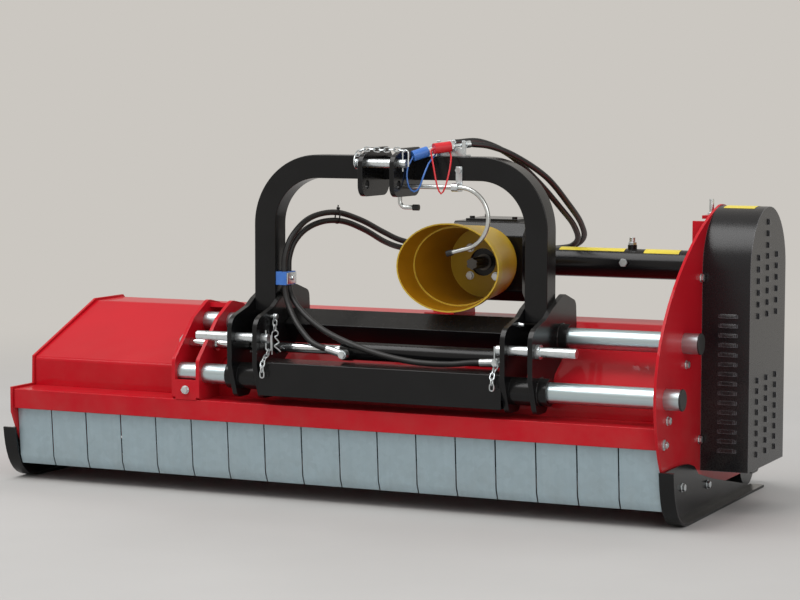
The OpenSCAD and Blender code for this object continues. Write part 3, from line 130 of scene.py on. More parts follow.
def roundEdges(width):
    bpy.ops.object.transform_apply(location=True, rotation=True, scale=True)
    bpy.ops.object.mode_set(mode="EDIT")
    bpy.ops.mesh.select_all(action="SELECT")
    bpy.ops.mesh.bevel(offset=width, segments=2)
    bpy.ops.object.mode_set(mode="OBJECT")


def pickEnd(piece):  # leaves the piece in edit mode, with the faces towards +X selected
    bpy.ops.object.transform_apply(location=True, rotation=True, scale=True)
    bpy.ops.object.mode_set(mode="EDIT")
    bpy.ops.mesh.select_mode(type="FACE")
    bpy.ops.mesh.select_all(action="DESELECT")
    bpy.ops.object.mode_set(mode="OBJECT")
    for face in piece.data.polygons:
        face.select = face.normal.x > 0.9
    bpy.ops.object.mode_set(mode="EDIT")


def settle(piece, name, body, material, smoothAngle=35):
    keepOnly(piece)
    bpy.ops.object.transform_apply(location=True, rotation=True, scale=True)
    piece.name = name
    piece.data.name = name
    piece.data.materials.clear()
    piece.data.materials.append(material)
    bpy.ops.object.shade_smooth_by_angle(angle=radians(smoothAngle))
    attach(piece, body)
    return piece


# camera: seen from the tractor's side, a little above the hood, right of the middle
camera = {"place": (3.181, -6.904, 1.2385), "lens": 110.4, "sensor": 36, "yaw": 24.73, "pitch": 4.97,
          "roll": -0.11}
cameraData = bpy.data.cameras.new("photoCamera")
cameraData.lens = camera["lens"]
cameraData.sensor_width = camera["sensor"]
cameraObject = bpy.data.objects.new("photoCamera", cameraData)
cameraObject.location = camera["place"]
cameraObject.rotation_euler = (radians(90 - camera["pitch"]), radians(camera["roll"]),
                               radians(camera["yaw"]))
bpy.context.scene.collection.objects.link(cameraObject)
bpy.context.scene.camera = cameraObject
print("camera placed")

# two-wire hydraulic hoses: from the cylinder up the left leg, behind the gearbox and back to the couplers
hose = {
    "diameter": 0.018,
    "steps": 8,
    "sides": 16,
    "smooth": 60,  # degrees
    "layLine": 0.46,  # place and half width, as shares of the way round
    "layHalf": 0.025,
    "offset": (0.1525, -0.446, 0.0),  # from the hitch's middle to the shared frame
    "left": [
        (-0.196, 0.0265, 0.463), (-0.224, 0.028, 0.470), (-0.254, 0.035, 0.483), (-0.288, 0.054, 0.505),
        (-0.326, 0.080, 0.534), (-0.357, 0.102, 0.570), (-0.376, 0.114, 0.606), (-0.384, 0.118, 0.641),
        (-0.384, 0.118, 0.681), (-0.383, 0.121, 0.730), (-0.370, 0.144, 0.788), (-0.340, 0.202, 0.840),
        (-0.300, 0.294, 0.854), (-0.266, 0.405, 0.826), (-0.244, 0.520, 0.784), (-0.224, 0.616, 0.752),
        (-0.172, 0.690, 0.733), (-0.080, 0.720, 0.726), (0.100, 0.722, 0.728), (0.290, 0.716, 0.738),
        (0.370, 0.670, 0.770), (0.402, 0.570, 0.822), (0.404, 0.460, 0.884), (0.378, 0.340, 0.970),
        (0.320, 0.240, 1.034), (0.264, 0.184, 1.064), (0.2135, 0.144, 1.072),
    ],
    "right": [
        (0.298, 0.0265, 0.446), (0.266, 0.0265, 0.444), (0.200, 0.025, 0.437), (0.100, 0.025, 0.437),
        (0.000, 0.027, 0.450), (-0.100, 0.034, 0.474), (-0.205, 0.058, 0.506), (-0.284, 0.092, 0.541),
        (-0.340, 0.122, 0.576), (-0.372, 0.140, 0.609), (-0.384, 0.146, 0.641), (-0.384, 0.146, 0.681),
        (-0.383, 0.149, 0.724), (-0.373, 0.166, 0.770), (-0.350, 0.202, 0.808), (-0.318, 0.258, 0.828),
        (-0.286, 0.330, 0.824), (-0.258, 0.420, 0.794), (-0.240, 0.520, 0.754), (-0.226, 0.606, 0.731),
        (-0.180, 0.670, 0.720), (-0.084, 0.696, 0.716), (0.100, 0.694, 0.718), (0.272, 0.690, 0.730),
        (0.356, 0.652, 0.762), (0.384, 0.556, 0.816), (0.378, 0.450, 0.878), (0.346, 0.344, 0.960),
        (0.292, 0.252, 1.040), (0.226, 0.190, 1.078), (0.166, 0.142, 1.076),
    ],
}


def roundedRoute(points, steps):
    ends = [points[0] * 2 - points[1]] + points + [points[-1] * 2 - points[-2]]
    route = []
    for a, b, c, d in zip(ends, ends[1:], ends[2:], ends[3:]):
        for k in range(steps):
            t = k / steps
            route.append(0.5 * (b * 2 + (c - a) * t + (a * 2 - b * 5 + c * 4 - d) * t**2
                                + (b * 3 - a - c * 3 + d) * t**3))
    return route + [points[-1]]


def routeTube(name, route, radius, sides):
    curve = bpy.data.curves.new(name, "CURVE")
    curve.dimensions = "3D"
    curve.bevel_depth = radius
    curve.bevel_resolution = sides // 4 - 1
    curve.use_fill_caps = True
    line = curve.splines.new("POLY")
    line.points.add(len(route) - 1)
    for point, place in zip(line.points, route):
        point.co = (*place, 1)
    piece = bpy.data.objects.new(name, curve)
    bpy.context.scene.collection.objects.link(piece)
    keepOnly(piece)
    bpy.ops.object.convert(target="MESH")
    return bpy.context.object


# hydraulic hose cover: extruded rubber with a wrapped-cloth impression, dull, with one thin red lay line
coverRubber, tree, surface, place = startMaterial("hoseCoverRubber", Roughness=0.46, Specular_IOR_Level=0.4)
around = addNode(tree, "ShaderNodeTexCoord").outputs["UV"]
aroundParts = addNode(tree, "ShaderNodeSeparateXYZ", {0: around})
layLine = addNode(tree, "ShaderNodeMath", {0: aroundParts.outputs["Y"], 1: hose["layLine"]},
                  operation="SUBTRACT")
layLine = addNode(tree, "ShaderNodeMath", {0: layLine.outputs[0]}, operation="ABSOLUTE")
layLine = addNode(tree, "ShaderNodeMath", {0: layLine.outputs[0], 1: hose["layHalf"]},
                  operation="LESS_THAN")
scuff = noise(tree, place, 60, 6.0)
rubbed = blend(tree, scuff, "#131314", "#2C2B2A")
lined = blend(tree, layLine.outputs[0], rubbed, "#4A2224")
tree.links.new(lined, surface.inputs["Base Color"])
wrap = noise(tree, place, 2, 2.0)
setGrain(tree, surface, wrap, 0.25, 0.3)

for side in ("left", "right"):
    corners = [Vector(point) + Vector(hose["offset"]) for point in hose[side]]
    route = roundedRoute(corners, hose["steps"])
    tube = routeTube(side + "Hose", route, hose["diameter"] / 2, hose["sides"])
    settle(tube, side + "Hose", "hitch_frame", coverRubber, hose["smooth"])
    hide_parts("hose_" + side)


def edgeMask(tree, width):  # 1 along the outer edges, 0 on the flats
    rounded = addNode(tree, "ShaderNodeBevel", {"Radius": width}, samples=6)
    flat = addNode(tree, "ShaderNodeNewGeometry")
    turn = addNode(tree, "ShaderNodeVectorMath", {0: rounded.outputs[0], 1: flat.outputs["Normal"]},
                   operation="DOT_PRODUCT")
    return addNode(tree, "ShaderNodeMapRange",
                   {"Value": turn.outputs["Value"], "From Min": 0.995, "From Max": 0.88}).outputs[0]


def dustMask(tree, place, top, bottom):  # more dust low down, broken up in patches
    height = addNode(tree, "ShaderNodeSeparateXYZ", {0: place}).outputs["Z"]
    rise = addNode(tree, "ShaderNodeMapRange", {"Value": height, "From Min": top, "From Max": bottom})
    patch = addNode(tree, "ShaderNodeTexNoise",
                    {"Vector": place, "Scale": 1 / (90 * mm), "Detail": 8.0, "Roughness": 0.65})
    patch = addNode(tree, "ShaderNodeMapRange",
                    {"Value": patch.outputs["Fac"], "From Min": 0.35, "From Max": 0.75})
    return product(tree, rise.outputs[0], patch.outputs[0])


# baked enamel on sheet steel: half gloss with a faint orange peel, a painted highlight drawn as paler red
# along the edges, dusty low down
redEnamel, tree, surface, place = startMaterial("bakedRedEnamel", Coat_Weight=0.22, Coat_Roughness=0.04,
                                                Specular_IOR_Level=0.06)
cloud = noise(tree, place, 250, 3.0)
redBase = blend(tree, cloud, "#AC0F1C", "#C31524")
# painted highlight: every edge is drawn in a paler red
redEdgeHighlight = blend(tree, edgeMask(tree, 3 * mm), redBase, "#C4202A")
redDust = product(tree, dustMask(tree, place, 0.5, 0.1), 0.22)
redDustAndHighlight = blend(tree, redDust, redEdgeHighlight, "#8C7468")
tree.links.new(redDustAndHighlight, surface.inputs["Base Color"])
setGloss(tree, surface, cloud, 0.28, 0.42)
peel = noise(tree, place, 5, 1.0)
setGrain(tree, surface, peel, 0.05, 0.4)

# satin black enamel on welded plate: soft highlights, grey rubbed edges, a film of dust on what faces up
blackEnamel, tree, surface, place = startMaterial("satinBlackEnamel", Specular_IOR_Level=0.28)
mottle = noise(tree, place, 120, 6.0)
blackBase = blend(tree, mottle, "#0C0C0D", "#161617")
facing = addNode(tree, "ShaderNodeSeparateXYZ",
                 {0: addNode(tree, "ShaderNodeNewGeometry").outputs["Normal"]})
settled = addNode(tree, "ShaderNodeMapRange",
                  {"Value": facing.outputs["Z"], "From Min": 0.5, "From Max": 1.0, "To Max": 0.16})
speckle = noise(tree, place, 12, 8.0)
blackDust = blend(tree, product(tree, settled.outputs[0], speckle), blackBase, "#6E6A64")
chips = noise(tree, place, 25, 5.0)
chips = addNode(tree, "ShaderNodeMapRange",
                {"Value": chips, "From Min": 0.42, "From Max": 0.7, "To Max": 0.8})
rubbedEdge = product(tree, edgeMask(tree, 2.5 * mm), chips.outputs[0])
blackWorn = blend(tree, rubbedEdge, blackDust, "#3E3F41")
tree.links.new(blackWorn, surface.inputs["Base Color"])
setGloss(tree, surface, mottle, 0.14, 0.3)
blackPeel = noise(tree, place, 6, 2.0)
setGrain(tree, surface, blackPeel, 0.08, 0.4)

# charcoal powder coat: fine leathery grain, drawn at 3 mm so that it shows, with a pale painted highlight
# along the edges and louvre lips
powderCoat, tree, surface, place = startMaterial("charcoalPowderCoat", Specular_IOR_Level=0.38)
grain = noise(tree, place, 3, 3.0)
broad = noise(tree, place, 200, 4.0)
coatBase = blend(tree, broad, "#111113", "#18181B")
# painted highlight: the edges and louvre lips are drawn pale grey
coatEdgeHighlight = blend(tree, edgeMask(tree, 2.5 * mm), coatBase, "#6C6C70")
coatDust = product(tree, dustMask(tree, place, 0.55, 0.1), 0.16)
coatDustAndHighlight = blend(tree, coatDust, coatEdgeHighlight, "#6A655E")
tree.links.new(coatDustAndHighlight, surface.inputs["Base Color"])
setGloss(tree, surface, grain, 0.2, 0.36)
setGrain(tree, surface, grain, 0.12, 0.3)

# hot-dip galvanised sheet: dull blue-grey spangle with pale run marks down the drop
galvanised, tree, surface, place = startMaterial("galvanisedSheet", Metallic=0.45)
spangle = addNode(tree, "ShaderNodeTexVoronoi",
                  {"Vector": place, "Scale": 1 / (16 * mm), "Randomness": 1.0})
spangleTone = addNode(tree, "ShaderNodeSeparateColor", {0: spangle.outputs["Color"]})
runs = streaks(tree, place, (1 / (9 * mm), 1.0, 1 / (300 * mm)), 4.0)
zincTone = blend(tree, runs, "#9FB3BB", "#AABCC3")
zincTone = blend(tree, product(tree, spangleTone.outputs[0], 0.14), zincTone, "#77878E")
flapDust = product(tree, dustMask(tree, place, 0.2, 0.04), 0.35)
zincTone = blend(tree, flapDust, zincTone, "#7B766C")
tree.links.new(zincTone, surface.inputs["Base Color"])
setGloss(tree, surface, spangleTone.outputs[1], 0.36, 0.5)
setGrain(tree, surface, runs, 0.02, 0.4)

# turned bar with bright zinc: lengthwise slide marks and a grease film
railZinc, tree, surface, place = startMaterial("turnedZincBar", Metallic=1.0)
marks = streaks(tree, place, (1 / (400 * mm), 1 / (5 * mm), 1 / (5 * mm)), 6.0)
turned = streaks(tree, place, (1 / (4 * mm), 0.5, 0.5), 2.0)
barTone = blend(tree, marks, "#AEC0C6", "#D2DFE2")
tree.links.new(barTone, surface.inputs["Base Color"])
setGloss(tree, surface, marks, 0.26, 0.42)
setGrain(tree, surface, turned, 0.08, 0.2)

# bright zinc plate on small parts: cool white metal, cloudy in places
zincPlate, tree, surface, place = startMaterial("brightZincPlate", Metallic=0.96)
haze = noise(tree, place, 14, 5.0)
plateTone = blend(tree, haze, "#C0C7CA", "#E9EEF0")
tree.links.new(plateTone, surface.inputs["Base Color"])
setGloss(tree, surface, haze, 0.2, 0.42)

# hard chrome on the ground piston rod: mirror bright with faint travel lines
rodChrome, tree, surface, place = startMaterial("hardChrome", Metallic=1.0)
travel = streaks(tree, place, (1 / (500 * mm), 1 / (3 * mm), 1 / (3 * mm)), 4.0)
chromeTone = blend(tree, travel, "#C6CACC", "#E4E7E8")
tree.links.new(chromeTone, surface.inputs["Base Color"])
setGloss(tree, surface, travel, 0.05, 0.16)

# machined steel: grey metal with tool marks and a breath of rust
bareSteel, tree, surface, place = startMaterial("machinedSteel", Metallic=0.95)
tool = noise(tree, place, 8, 7.0)
rust = addNode(tree, "ShaderNodeMapRange", {"Value": tool, "From Min": 0.55, "From Max": 0.8, "To Max": 0.5})
steelTone = blend(tree, rust.outputs[0], "#5E5D5B", "#553D30")
tree.links.new(steelTone, surface.inputs["Base Color"])
setGloss(tree, surface, tool, 0.28, 0.55)

# sand-cast iron: dark, matt and grainy
castIron, tree, surface, place = startMaterial("sandCastIron", Metallic=0.3)
sand = noise(tree, place, 3, 4.0)
ironTone = blend(tree, sand, "#28292B", "#46484B")
tree.links.new(ironTone, surface.inputs["Base Color"])
setGloss(tree, surface, sand, 0.45, 0.7)
setGrain(tree, surface, sand, 0.3, 0.5)

# zinc-plated round bar of the parking hook, with a dipped black vinyl sleeve on each tip
hookSleeve = {"tips": ((0.330, -0.379, 0.755), (0.2345, -0.379, 0.887)), "long": 18 * mm}
hookBar, tree, surface, place = startMaterial("zincBarWithVinylTips")
nearTip = 0.0
for tip in hookSleeve["tips"]:
    far = addNode(tree, "ShaderNodeVectorMath", {0: place, 1: tip}, operation="DISTANCE")
    inside = addNode(tree, "ShaderNodeMath", {0: far.outputs["Value"], 1: hookSleeve["long"]},
                     operation="LESS_THAN")
    nearTip = addNode(tree, "ShaderNodeMath", {0: inside.outputs[0], 1: nearTip},
                      operation="MAXIMUM").outputs[0]
barHaze = noise(tree, place, 18, 5.0)
barPlate = blend(tree, barHaze, "#B4B8B7", "#E2E5E4")
barColour = blend(tree, nearTip, barPlate, "#161617")
tree.links.new(barColour, surface.inputs["Base Color"])
barMetal = addNode(tree, "ShaderNodeMath", {0: 1.0, 1: nearTip}, operation="SUBTRACT")
tree.links.new(barMetal.outputs[0], surface.inputs["Metallic"])
setGloss(tree, surface, nearTip, 0.3, 0.55)

# moulded polyethylene: waxy yellow, with painted shade inside the shaft guard, drawn darker and more orange
# there, and a painted highlight along the rims
guardAxis = (0.311, 0.0, 0.708)
yellowPlastic, tree, surface, place = startMaterial("mouldedYellowPolyethylene", Specular_IOR_Level=0.4,
                                                    Subsurface_Weight=0.05, Subsurface_Scale=5 * mm)
wax = noise(tree, place, 70, 5.0)
outerWax = blend(tree, wax, "#AE8A0E", "#C8A624")
# painted shade: faces turned towards the guard's axis are drawn darker and more orange
innerWaxShade = blend(tree, wax, "#8A5A06", "#A4700C")
fromAxis = addNode(tree, "ShaderNodeVectorMath", {0: place, 1: guardAxis}, operation="SUBTRACT")
fromAxis = addNode(tree, "ShaderNodeVectorMath", {0: fromAxis.outputs[0], 1: (1, 0, 1)},
                   operation="MULTIPLY")
waxFace = addNode(tree, "ShaderNodeNewGeometry")
outward = addNode(tree, "ShaderNodeVectorMath", {0: fromAxis.outputs[0], 1: waxFace.outputs["Normal"]},
                  operation="DOT_PRODUCT")
insideShade = addNode(tree, "ShaderNodeMapRange",
                 {"Value": outward.outputs["Value"], "From Min": 0.0, "From Max": -30 * mm})
waxToneAndShade = blend(tree, insideShade.outputs[0], outerWax, innerWaxShade)
# painted highlight: the rims are drawn pale yellow
waxShadeAndHighlight = blend(tree, edgeMask(tree, 2 * mm), waxToneAndShade, "#D8BC58")
tree.links.new(waxShadeAndHighlight, surface.inputs["Base Color"])
setGloss(tree, surface, wax, 0.32, 0.5)
pebble = noise(tree, place, 4, 2.0)
setGrain(tree, surface, pebble, 0.06, 0.3)


def mouldedPlastic(name, deepHex, paleHex, lowGloss, highGloss):  # moulded, with a fine spark-eroded grain
    material, tree, surface, place = startMaterial(name)
    flow = noise(tree, place, 20, 4.0)
    tone = blend(tree, flow, deepHex, paleHex)
    tree.links.new(tone, surface.inputs["Base Color"])
    setGloss(tree, surface, flow, lowGloss, highGloss)
    spark = noise(tree, place, 1.5, 1.0)
    setGrain(tree, surface, spark, 0.08, 0.2)
    return material


finishes = {
    "red_paint": redEnamel,
    "black_paint": blackEnamel,
    "guard_coating": powderCoat,
    "rail_zinc": railZinc,
    "zinc": zincPlate,
    "galvanised": galvanised,
    "rod_chrome": rodChrome,
    "bare_steel": bareSteel,
    "cast_iron": castIron,
    "yellow_plastic": yellowPlastic,
    "black_rubber": coverRubber,
    "black_plastic": mouldedPlastic("mouldedBlackPolymer", "#111112", "#1F1F20", 0.4, 0.6),
    "blue_plastic": mouldedPlastic("mouldedBluePolymer", "#2F62B4", "#4A80CC", 0.28, 0.42),
    "red_plastic": mouldedPlastic("mouldedRedPolymer", "#B81822", "#DE2B33", 0.28, 0.42),
}
for node in cadNodes.values():
    slotName = node.material_slots[0].material.name.split(".")[0]
    node.material_slots[0].material = finishes[slotName]
cadNodes["pto_hook"].material_slots[0].material = hookBar
print("finishes set on", len(cadNodes), "nodes")

# rolled and broken edges on the sheet and plate pieces, width in mm
edgeWidth = {
    "rotor_hood": 1.5, "front_beam": 2.5, "left_side_plate": 1.5, "right_side_plate": 1.5,
    "rail_bracket": 1.5, "skids": 1.5, "link_plates": 1.5, "slide_beams": 3.0, "arch": 4.0,
    "top_link_bracket": 1.5, "gearbox": 3.0, "drive_tube": 1.0, "belt_guard": 1.0, "hose_clamp": 1.5,
    "hook_strap": 0.8, "coupler_bracket": 0.8, "chassis_fasteners": 0.8, "hitch_pins": 1.0,
    "hose_fittings": 0.8, "roller_brackets": 1.5, "rail_caps": 1.5, "rotor_bearings": 1.5,
    "cylinder_barrel": 1.0,
}
edges = {"weld": 0.01 * mm, "flat": 0.5, "corner": 40, "smooth": 35, "flap": 1.0}  # angles in degrees


def softenEdges(piece, width):
    weld = piece.modifiers.new("weld", "WELD")
    weld.merge_threshold = edges["weld"]
    flat = piece.modifiers.new("flat", "DECIMATE")
    flat.decimate_type = "DISSOLVE"
    flat.angle_limit = radians(edges["flat"])
    edge = piece.modifiers.new("edge", "BEVEL")
    edge.width = width
    edge.segments = 2
    edge.limit_method = "ANGLE"
    edge.angle_limit = radians(edges["corner"])
    edge.use_clamp_overlap = True
    flatten = piece.modifiers.new("flatten", "WEIGHTED_NORMAL")
    flatten.keep_sharp = False
    flatten.weight = 100
    facet = piece.modifiers.new("facet", "TRIANGULATE")
    facet.keep_custom_normals = True


for name, width in edgeWidth.items():
    softenEdges(cadNodes[name], width * mm)
for name in frame["bodies"]:
    if name.startswith("flap_"):
        softenEdges(cadNodes[name], edges["flap"] * mm)
for node in cadNodes.values():
    keepOnly(node)
    bpy.ops.object.shade_smooth_by_angle(angle=radians(edges["smooth"]))
    if not node.modifiers:
        seam = node.modifiers.new("weld", "WELD")
        seam.merge_threshold = edges["weld"]
        corner = node.modifiers.new("corner", "EDGE_SPLIT")
        corner.split_angle = radians(edges["smooth"])
        corner.use_edge_sharp = False
print("edges rounded")

# nylon cable tie: a strap round the two hoses, a ratchet head and a cut tail
tie = {
    "places": ((-0.1429, -0.1391, 0.8526), (-0.1452, -0.145, 0.8285)), "along": (0.32, 0.94, -0.13),
    "width": 0.0048, "thick": 0.0014, "head": (0.0085, 0.0075, 0.006), "tail": 0.013, "round": 0.0006,
}
tieNylon = mouldedPlastic("mouldedBlackNylon", "#0E0E0F", "#1B1B1C", 0.35, 0.5)
upperHose, lowerHose = Vector(tie["places"][0]), Vector(tie["places"][1])
along = Vector(tie["along"]).normalized()
upward = (Vector((0, 0, 1)) - along * along.z).normalized()
sideways = upward.cross(along)
reach = (upperHose - lowerHose).dot(upward) / 2
loop = hose["diameter"] / 2 + tie["thick"]
deselectAll()
bpy.ops.mesh.primitive_cylinder_add(vertices=32, radius=loop, depth=tie["width"], end_fill_type="NOTHING")
band = bpy.context.object
bpy.ops.object.mode_set(mode="EDIT")
bpy.ops.mesh.select_all(action="SELECT")
bpy.ops.mesh.bisect(plane_co=(0, 0, 0), plane_no=(1, 0, 0))
bpy.ops.object.mode_set(mode="OBJECT")
for vertex in band.data.vertices:
    vertex.co.x += reach if vertex.co.x > 1e-6 else -reach if vertex.co.x < -1e-6 else 0
bpy.ops.object.mode_set(mode="EDIT")
bpy.ops.mesh.select_all(action="SELECT")
bpy.ops.mesh.solidify(thickness=tie["thick"])
bpy.ops.object.mode_set(mode="OBJECT")
bpy.ops.mesh.primitive_cube_add(size=1, location=(reach + loop + tie["head"][2] / 2, 0, 0),
                                scale=(tie["head"][2], tie["head"][0], tie["head"][1]))
head = bpy.context.object
roundEdges(tie["round"])
bpy.ops.mesh.primitive_cube_add(size=1, location=(reach + loop + tie["tail"] / 2, tie["thick"], 0),
                                scale=(tie["tail"], tie["thick"], tie["width"]))
tail = bpy.context.object
roundEdges(tie["thick"] / 4)
deselectAll()
for part in (head, tail, band):
    part.select_set(True)
bpy.context.view_layer.objects.active = band
bpy.ops.object.join()
band.matrix_world = Matrix((upward, sideways, along)).transposed().to_4x4()
band.location = (upperHose + lowerHose) / 2
settle(band, "pairTie", "hitch_frame", tieNylon)
print("cable tie drawn")

# zinc cover plate on the hose clamp, with its hex bolt
clampPlate = {"place": (-0.2145, -0.314, 0.661), "size": (0.004, 0.058, 0.034), "round": 0.0012,
              "boltAcross": 0.0075, "boltTall": 0.0055, "boltRound": 0.0008}
deselectAll()
bpy.ops.mesh.primitive_cube_add(size=1, location=clampPlate["place"], scale=clampPlate["size"])
cover = bpy.context.object
roundEdges(clampPlate["round"])
boltOut = clampPlate["size"][0] / 2 + clampPlate["boltTall"] / 2
bpy.ops.mesh.primitive_cylinder_add(vertices=6, radius=clampPlate["boltAcross"], depth=clampPlate["boltTall"],
                                    location=Vector(clampPlate["place"]) + Vector((boltOut, 0, 0)),
                                    rotation=(0, radians(90), 0))
boltHead = bpy.context.object
roundEdges(clampPlate["boltRound"])
deselectAll()
boltHead.select_set(True)
cover.select_set(True)
bpy.context.view_layer.objects.active = cover
bpy.ops.object.join()
settle(cover, "clampPlate", "hitch_frame", zincPlate)

# plain yellow film on the drive tube and over the belt guard
films = {
    "tubeFilmLeft": {"radius": 0.04445, "from": 0.512, "to": 0.720, "front": 56, "back": 118},
    "tubeFilmRight": {"radius": 0.04445, "from": 0.783, "to": 0.893, "front": 50, "back": 118},
    "guardFilm": {"radius": 0.181, "from": 1.034, "to": 1.128, "front": 76, "back": 102},
}
filmThick = 0.0004
driveLine = (0.072, 0.710)
filmVinyl = mouldedPlastic("plainYellowVinyl", "#D6C02A", "#E4D048", 0.3, 0.45)
for name, film in films.items():
    middle = Vector(((film["from"] + film["to"]) / 2, *driveLine))
    deselectAll()
    bpy.ops.mesh.primitive_cylinder_add(vertices=180, radius=film["radius"] + filmThick / 4,
                                        depth=film["to"] - film["from"], end_fill_type="NOTHING",
                                        location=middle, rotation=(0, radians(90), 0))
    sheet = bpy.context.object
    bpy.ops.object.transform_apply(location=True, rotation=True, scale=True)
    bpy.ops.object.mode_set(mode="EDIT")
    for angle, inner in ((film["front"], True), (film["back"], False)):
        turn = radians(angle)
        bpy.ops.mesh.select_all(action="SELECT")
        bpy.ops.mesh.bisect(plane_co=middle, plane_no=(0, sin(turn), cos(turn)), clear_inner=inner,
                            clear_outer=not inner)
    bpy.ops.mesh.select_all(action="SELECT")
    bpy.ops.mesh.solidify(thickness=-filmThick)
    bpy.ops.object.mode_set(mode="OBJECT")
    settle(sheet, name, "chassis", filmVinyl)
print("films laid")

# weld beads round the slide bushes, uneven as laid by hand
bead = {"bush": 0.040, "half": 0.0035, "rails": ((-0.426, 0.371), (-0.265, 0.513)),
        "faces": (-0.3375, 0.6425), "uneven": 0.0008, "seed": 4, "smooth": 60}
deselectAll()
for railY, railZ in bead["rails"]:
    for face in bead["faces"]:
        bpy.ops.mesh.primitive_torus_add(major_segments=72, minor_segments=8, major_radius=bead["bush"],
                                         minor_radius=bead["half"], location=(face, railY, railZ),
                                         rotation=(0, radians(90), 0))
        ring = bpy.context.object
        bpy.ops.object.transform_apply(location=True, rotation=True, scale=True)
        bpy.ops.object.mode_set(mode="EDIT")
        bpy.ops.mesh.select_all(action="SELECT")
        bpy.ops.transform.vertex_random(offset=bead["uneven"], seed=bead["seed"])
        bpy.ops.object.mode_set(mode="OBJECT")
        settle(ring, "bushWeld", "hitch_frame", blackEnamel, bead["smooth"])
print("weld beads run")

# hairpin clip on a short chain, hung from a stud on the left link plate
hairpin = {
    "stud": (-0.2375, -0.403, 0.551), "studRadius": 0.005, "studLong": 0.017,
    "headRadius": 0.0085, "headThick": 0.004, "headRound": 0.001, "shoulder": 0.0002,
    "hang": 0.012,  # from the plate to the middle of the chain
    "linkHalf": 0.0065, "linkWire": 0.002, "linkStretch": 0.0035, "linkPitch": 0.016, "links": 3,
    "wire": 0.0023, "wireSides": 12, "wireSteps": 6, "smooth": 60, "facing": (0.8, 0.6, 0.0), "eye": 0.009,
    "bend": [(0.0, -0.070), (0.0, -0.044), (0.0, -0.016), (0.001, -0.004), (0.009, 0.003), (0.018, -0.003),
             (0.017, -0.012), (0.009, -0.017), (0.016, -0.026), (0.021, -0.034), (0.008, -0.044),
             (0.018, -0.054), (0.026, -0.062)],
}
studAt = Vector(hairpin["stud"])
deselectAll()
bpy.ops.mesh.primitive_cylinder_add(vertices=24, radius=hairpin["studRadius"], depth=hairpin["studLong"],
                                    location=studAt + Vector((hairpin["studLong"] / 2, 0, 0)),
                                    rotation=(0, radians(90), 0))
stud = bpy.context.object
pickEnd(stud)
bpy.ops.mesh.extrude_region_move(TRANSFORM_OT_translate={"value": (hairpin["shoulder"], 0, 0)})
headShare = hairpin["headRadius"] / hairpin["studRadius"]
bpy.ops.transform.resize(value=(1, headShare, headShare))
bpy.ops.mesh.extrude_region_move(TRANSFORM_OT_translate={"value": (hairpin["headThick"], 0, 0)})
bpy.ops.mesh.bevel(offset=hairpin["headRound"], segments=2)
bpy.ops.object.mode_set(mode="OBJECT")
settle(stud, "chainStud", "hitch_frame", zincPlate)
eyeTop = studAt + Vector((hairpin["hang"], 0, hairpin["studRadius"] + hairpin["linkWire"]))
linkReach = hairpin["linkHalf"] + hairpin["linkStretch"]
for k in range(hairpin["links"]):
    deselectAll()
    bpy.ops.mesh.primitive_torus_add(major_segments=24, minor_segments=10, major_radius=hairpin["linkHalf"],
                                     minor_radius=hairpin["linkWire"], rotation=(radians(90), 0, 0))
    ring = bpy.context.object
    bpy.ops.object.transform_apply(location=True, rotation=True, scale=True)
    for vertex in ring.data.vertices:
        vertex.co.z += hairpin["linkStretch"] if vertex.co.z > 0 else -hairpin["linkStretch"]
    ring.rotation_euler = (0, 0, radians(90 if k % 2 == 0 else 0))
    ring.location = eyeTop - Vector((0, 0, linkReach + hairpin["linkPitch"] * k))
    settle(ring, "studLink", "hitch_frame", zincPlate, hairpin["smooth"])
clipTop = eyeTop - Vector((0, 0, linkReach * 2 + hairpin["linkPitch"] * (hairpin["links"] - 1)))
clipAcross = Vector(hairpin["facing"])
clipBend = [clipTop + clipAcross * (across - hairpin["eye"]) + Vector((0, 0, down))
            for across, down in hairpin["bend"]]
clipRoute = roundedRoute(clipBend, hairpin["wireSteps"])
clipWire = routeTube("hairpinClip", clipRoute, hairpin["wire"], hairpin["wireSides"])
settle(clipWire, "hairpinClip", "hitch_frame", zincPlate, hairpin["smooth"])

# threaded end of a plate bolt, inside the right link plates
plateBolt = {"foot": (0.5575, -0.393, 0.5585), "radius": 0.004, "long": 0.018, "nutRadius": 0.0075,
             "nutThick": 0.006, "round": 0.0006}
nutAt = Vector(plateBolt["foot"]) + Vector((plateBolt["nutThick"] / 2, 0, 0))
deselectAll()
bpy.ops.mesh.primitive_cylinder_add(vertices=6, radius=plateBolt["nutRadius"], depth=plateBolt["nutThick"],
                                    location=nutAt, rotation=(0, radians(90), 0))
nut = bpy.context.object
pickEnd(nut)
bpy.ops.mesh.inset(thickness=plateBolt["nutRadius"] * cos(radians(30)) - plateBolt["radius"])
threadOut = (plateBolt["long"] - plateBolt["nutThick"], 0, 0)
bpy.ops.mesh.extrude_region_move(TRANSFORM_OT_translate={"value": threadOut})
bpy.ops.mesh.bevel(offset=plateBolt["round"], segments=2)
bpy.ops.object.mode_set(mode="OBJECT")
settle(nut, "plateBolt", "hitch_frame", zincPlate)
print("clip and bolt hung")

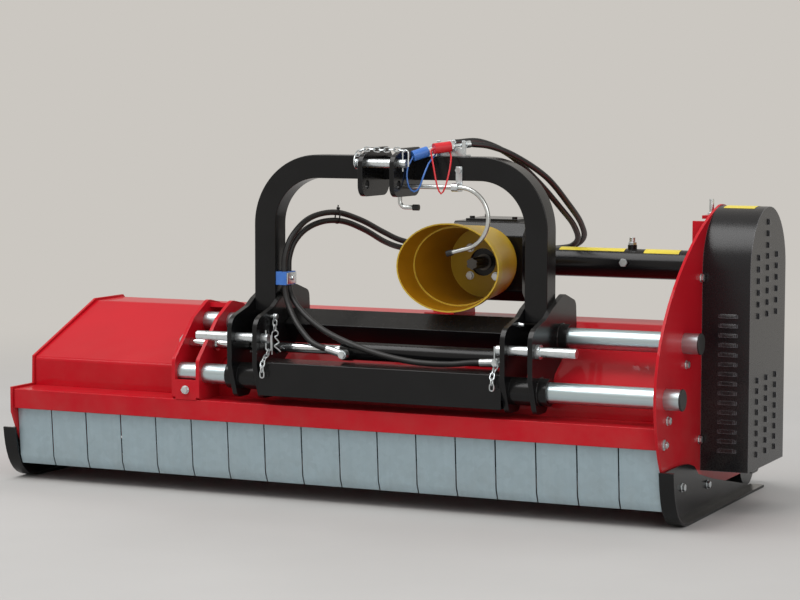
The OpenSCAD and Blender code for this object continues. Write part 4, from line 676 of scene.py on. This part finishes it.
# pale floor and soft daylight
studio = {"floor": 60.0, "fadeNear": 1.7, "fadeFar": 5.5, "stain": 0.8, "aim": (0, 0, 0.4),
          "backHex": "#CBC7C1", "skyHex": "#F2F4F7", "sky": 0.55}
deselectAll()
bpy.ops.mesh.primitive_circle_add(vertices=96, radius=studio["floor"], fill_type="NGON", location=(0, 0, 0))
floor = bpy.context.object
floor.name = "floor"
floorPaint, tree, surface, place = startMaterial("paleConcrete", Roughness=0.85, Specular_IOR_Level=0.2)
stain = addNode(tree, "ShaderNodeTexNoise", {"Vector": place, "Scale": 1 / studio["stain"], "Detail": 6.0})
stain = blend(tree, stain.outputs["Fac"], "#AFADAA", "#BCBAB7")
tree.links.new(stain, surface.inputs["Base Color"])
reach = addNode(tree, "ShaderNodeVectorMath", {0: place}, operation="LENGTH")
fade = addNode(tree, "ShaderNodeMapRange",
               {"Value": reach.outputs["Value"], "From Min": studio["fadeNear"],
                "From Max": studio["fadeFar"]},
               interpolation_type="SMOOTHSTEP")
haze = addNode(tree, "ShaderNodeEmission", {"Color": toLinear(studio["backHex"]), "Strength": 1.0})
faded = addNode(tree, "ShaderNodeMixShader",
                {0: fade.outputs[0], 1: surface.outputs[0], 2: haze.outputs[0]})
tree.links.new(faded.outputs[0], tree.nodes["Material Output"].inputs["Surface"])
floor.data.materials.append(floorPaint)

world = bpy.data.worlds.new("overcast")
bpy.context.scene.world = world
world.use_nodes = True
tree = world.node_tree
tree.nodes.clear()
rays = addNode(tree, "ShaderNodeLightPath")
seen = addNode(tree, "ShaderNodeMath", {0: rays.outputs["Is Camera Ray"], 1: rays.outputs["Is Glossy Ray"]},
               operation="MAXIMUM")
seen = addNode(tree, "ShaderNodeMath", {0: seen.outputs[0], 1: rays.outputs["Is Transmission Ray"]},
               operation="MAXIMUM")
backdrop = addNode(tree, "ShaderNodeBackground", {"Color": toLinear(studio["backHex"]), "Strength": 1.0})
skylight = addNode(tree, "ShaderNodeBackground",
                   {"Color": toLinear(studio["skyHex"]), "Strength": studio["sky"]})
both = addNode(tree, "ShaderNodeMixShader",
               {0: seen.outputs[0], 1: skylight.outputs[0], 2: backdrop.outputs[0]})
addNode(tree, "ShaderNodeOutputWorld", {"Surface": both.outputs[0]})

lamps = {
    "key": {"place": (-1.8, -2.6, 6.0), "size": 5.0, "power": 330.0, "mirrored": True},
    "fill": {"place": (4.5, -4.5, 3.0), "size": 3.0, "power": 90.0, "mirrored": True},
    "rim": {"place": (0.5, 4.5, 5.0), "size": 4.0, "power": 120.0, "mirrored": False},
}
for name, lamp in lamps.items():
    light = bpy.data.lights.new(name, "AREA")
    light.size = lamp["size"]
    light.energy = lamp["power"]
    lightObject = bpy.data.objects.new(name, light)
    lightObject.location = lamp["place"]
    lightObject.visible_glossy = lamp["mirrored"]
    aim = Vector(studio["aim"]) - Vector(lamp["place"])
    lightObject.rotation_euler = aim.to_track_quat("-Z", "Y").to_euler()
    bpy.context.scene.collection.objects.link(lightObject)
print("floor and light set")
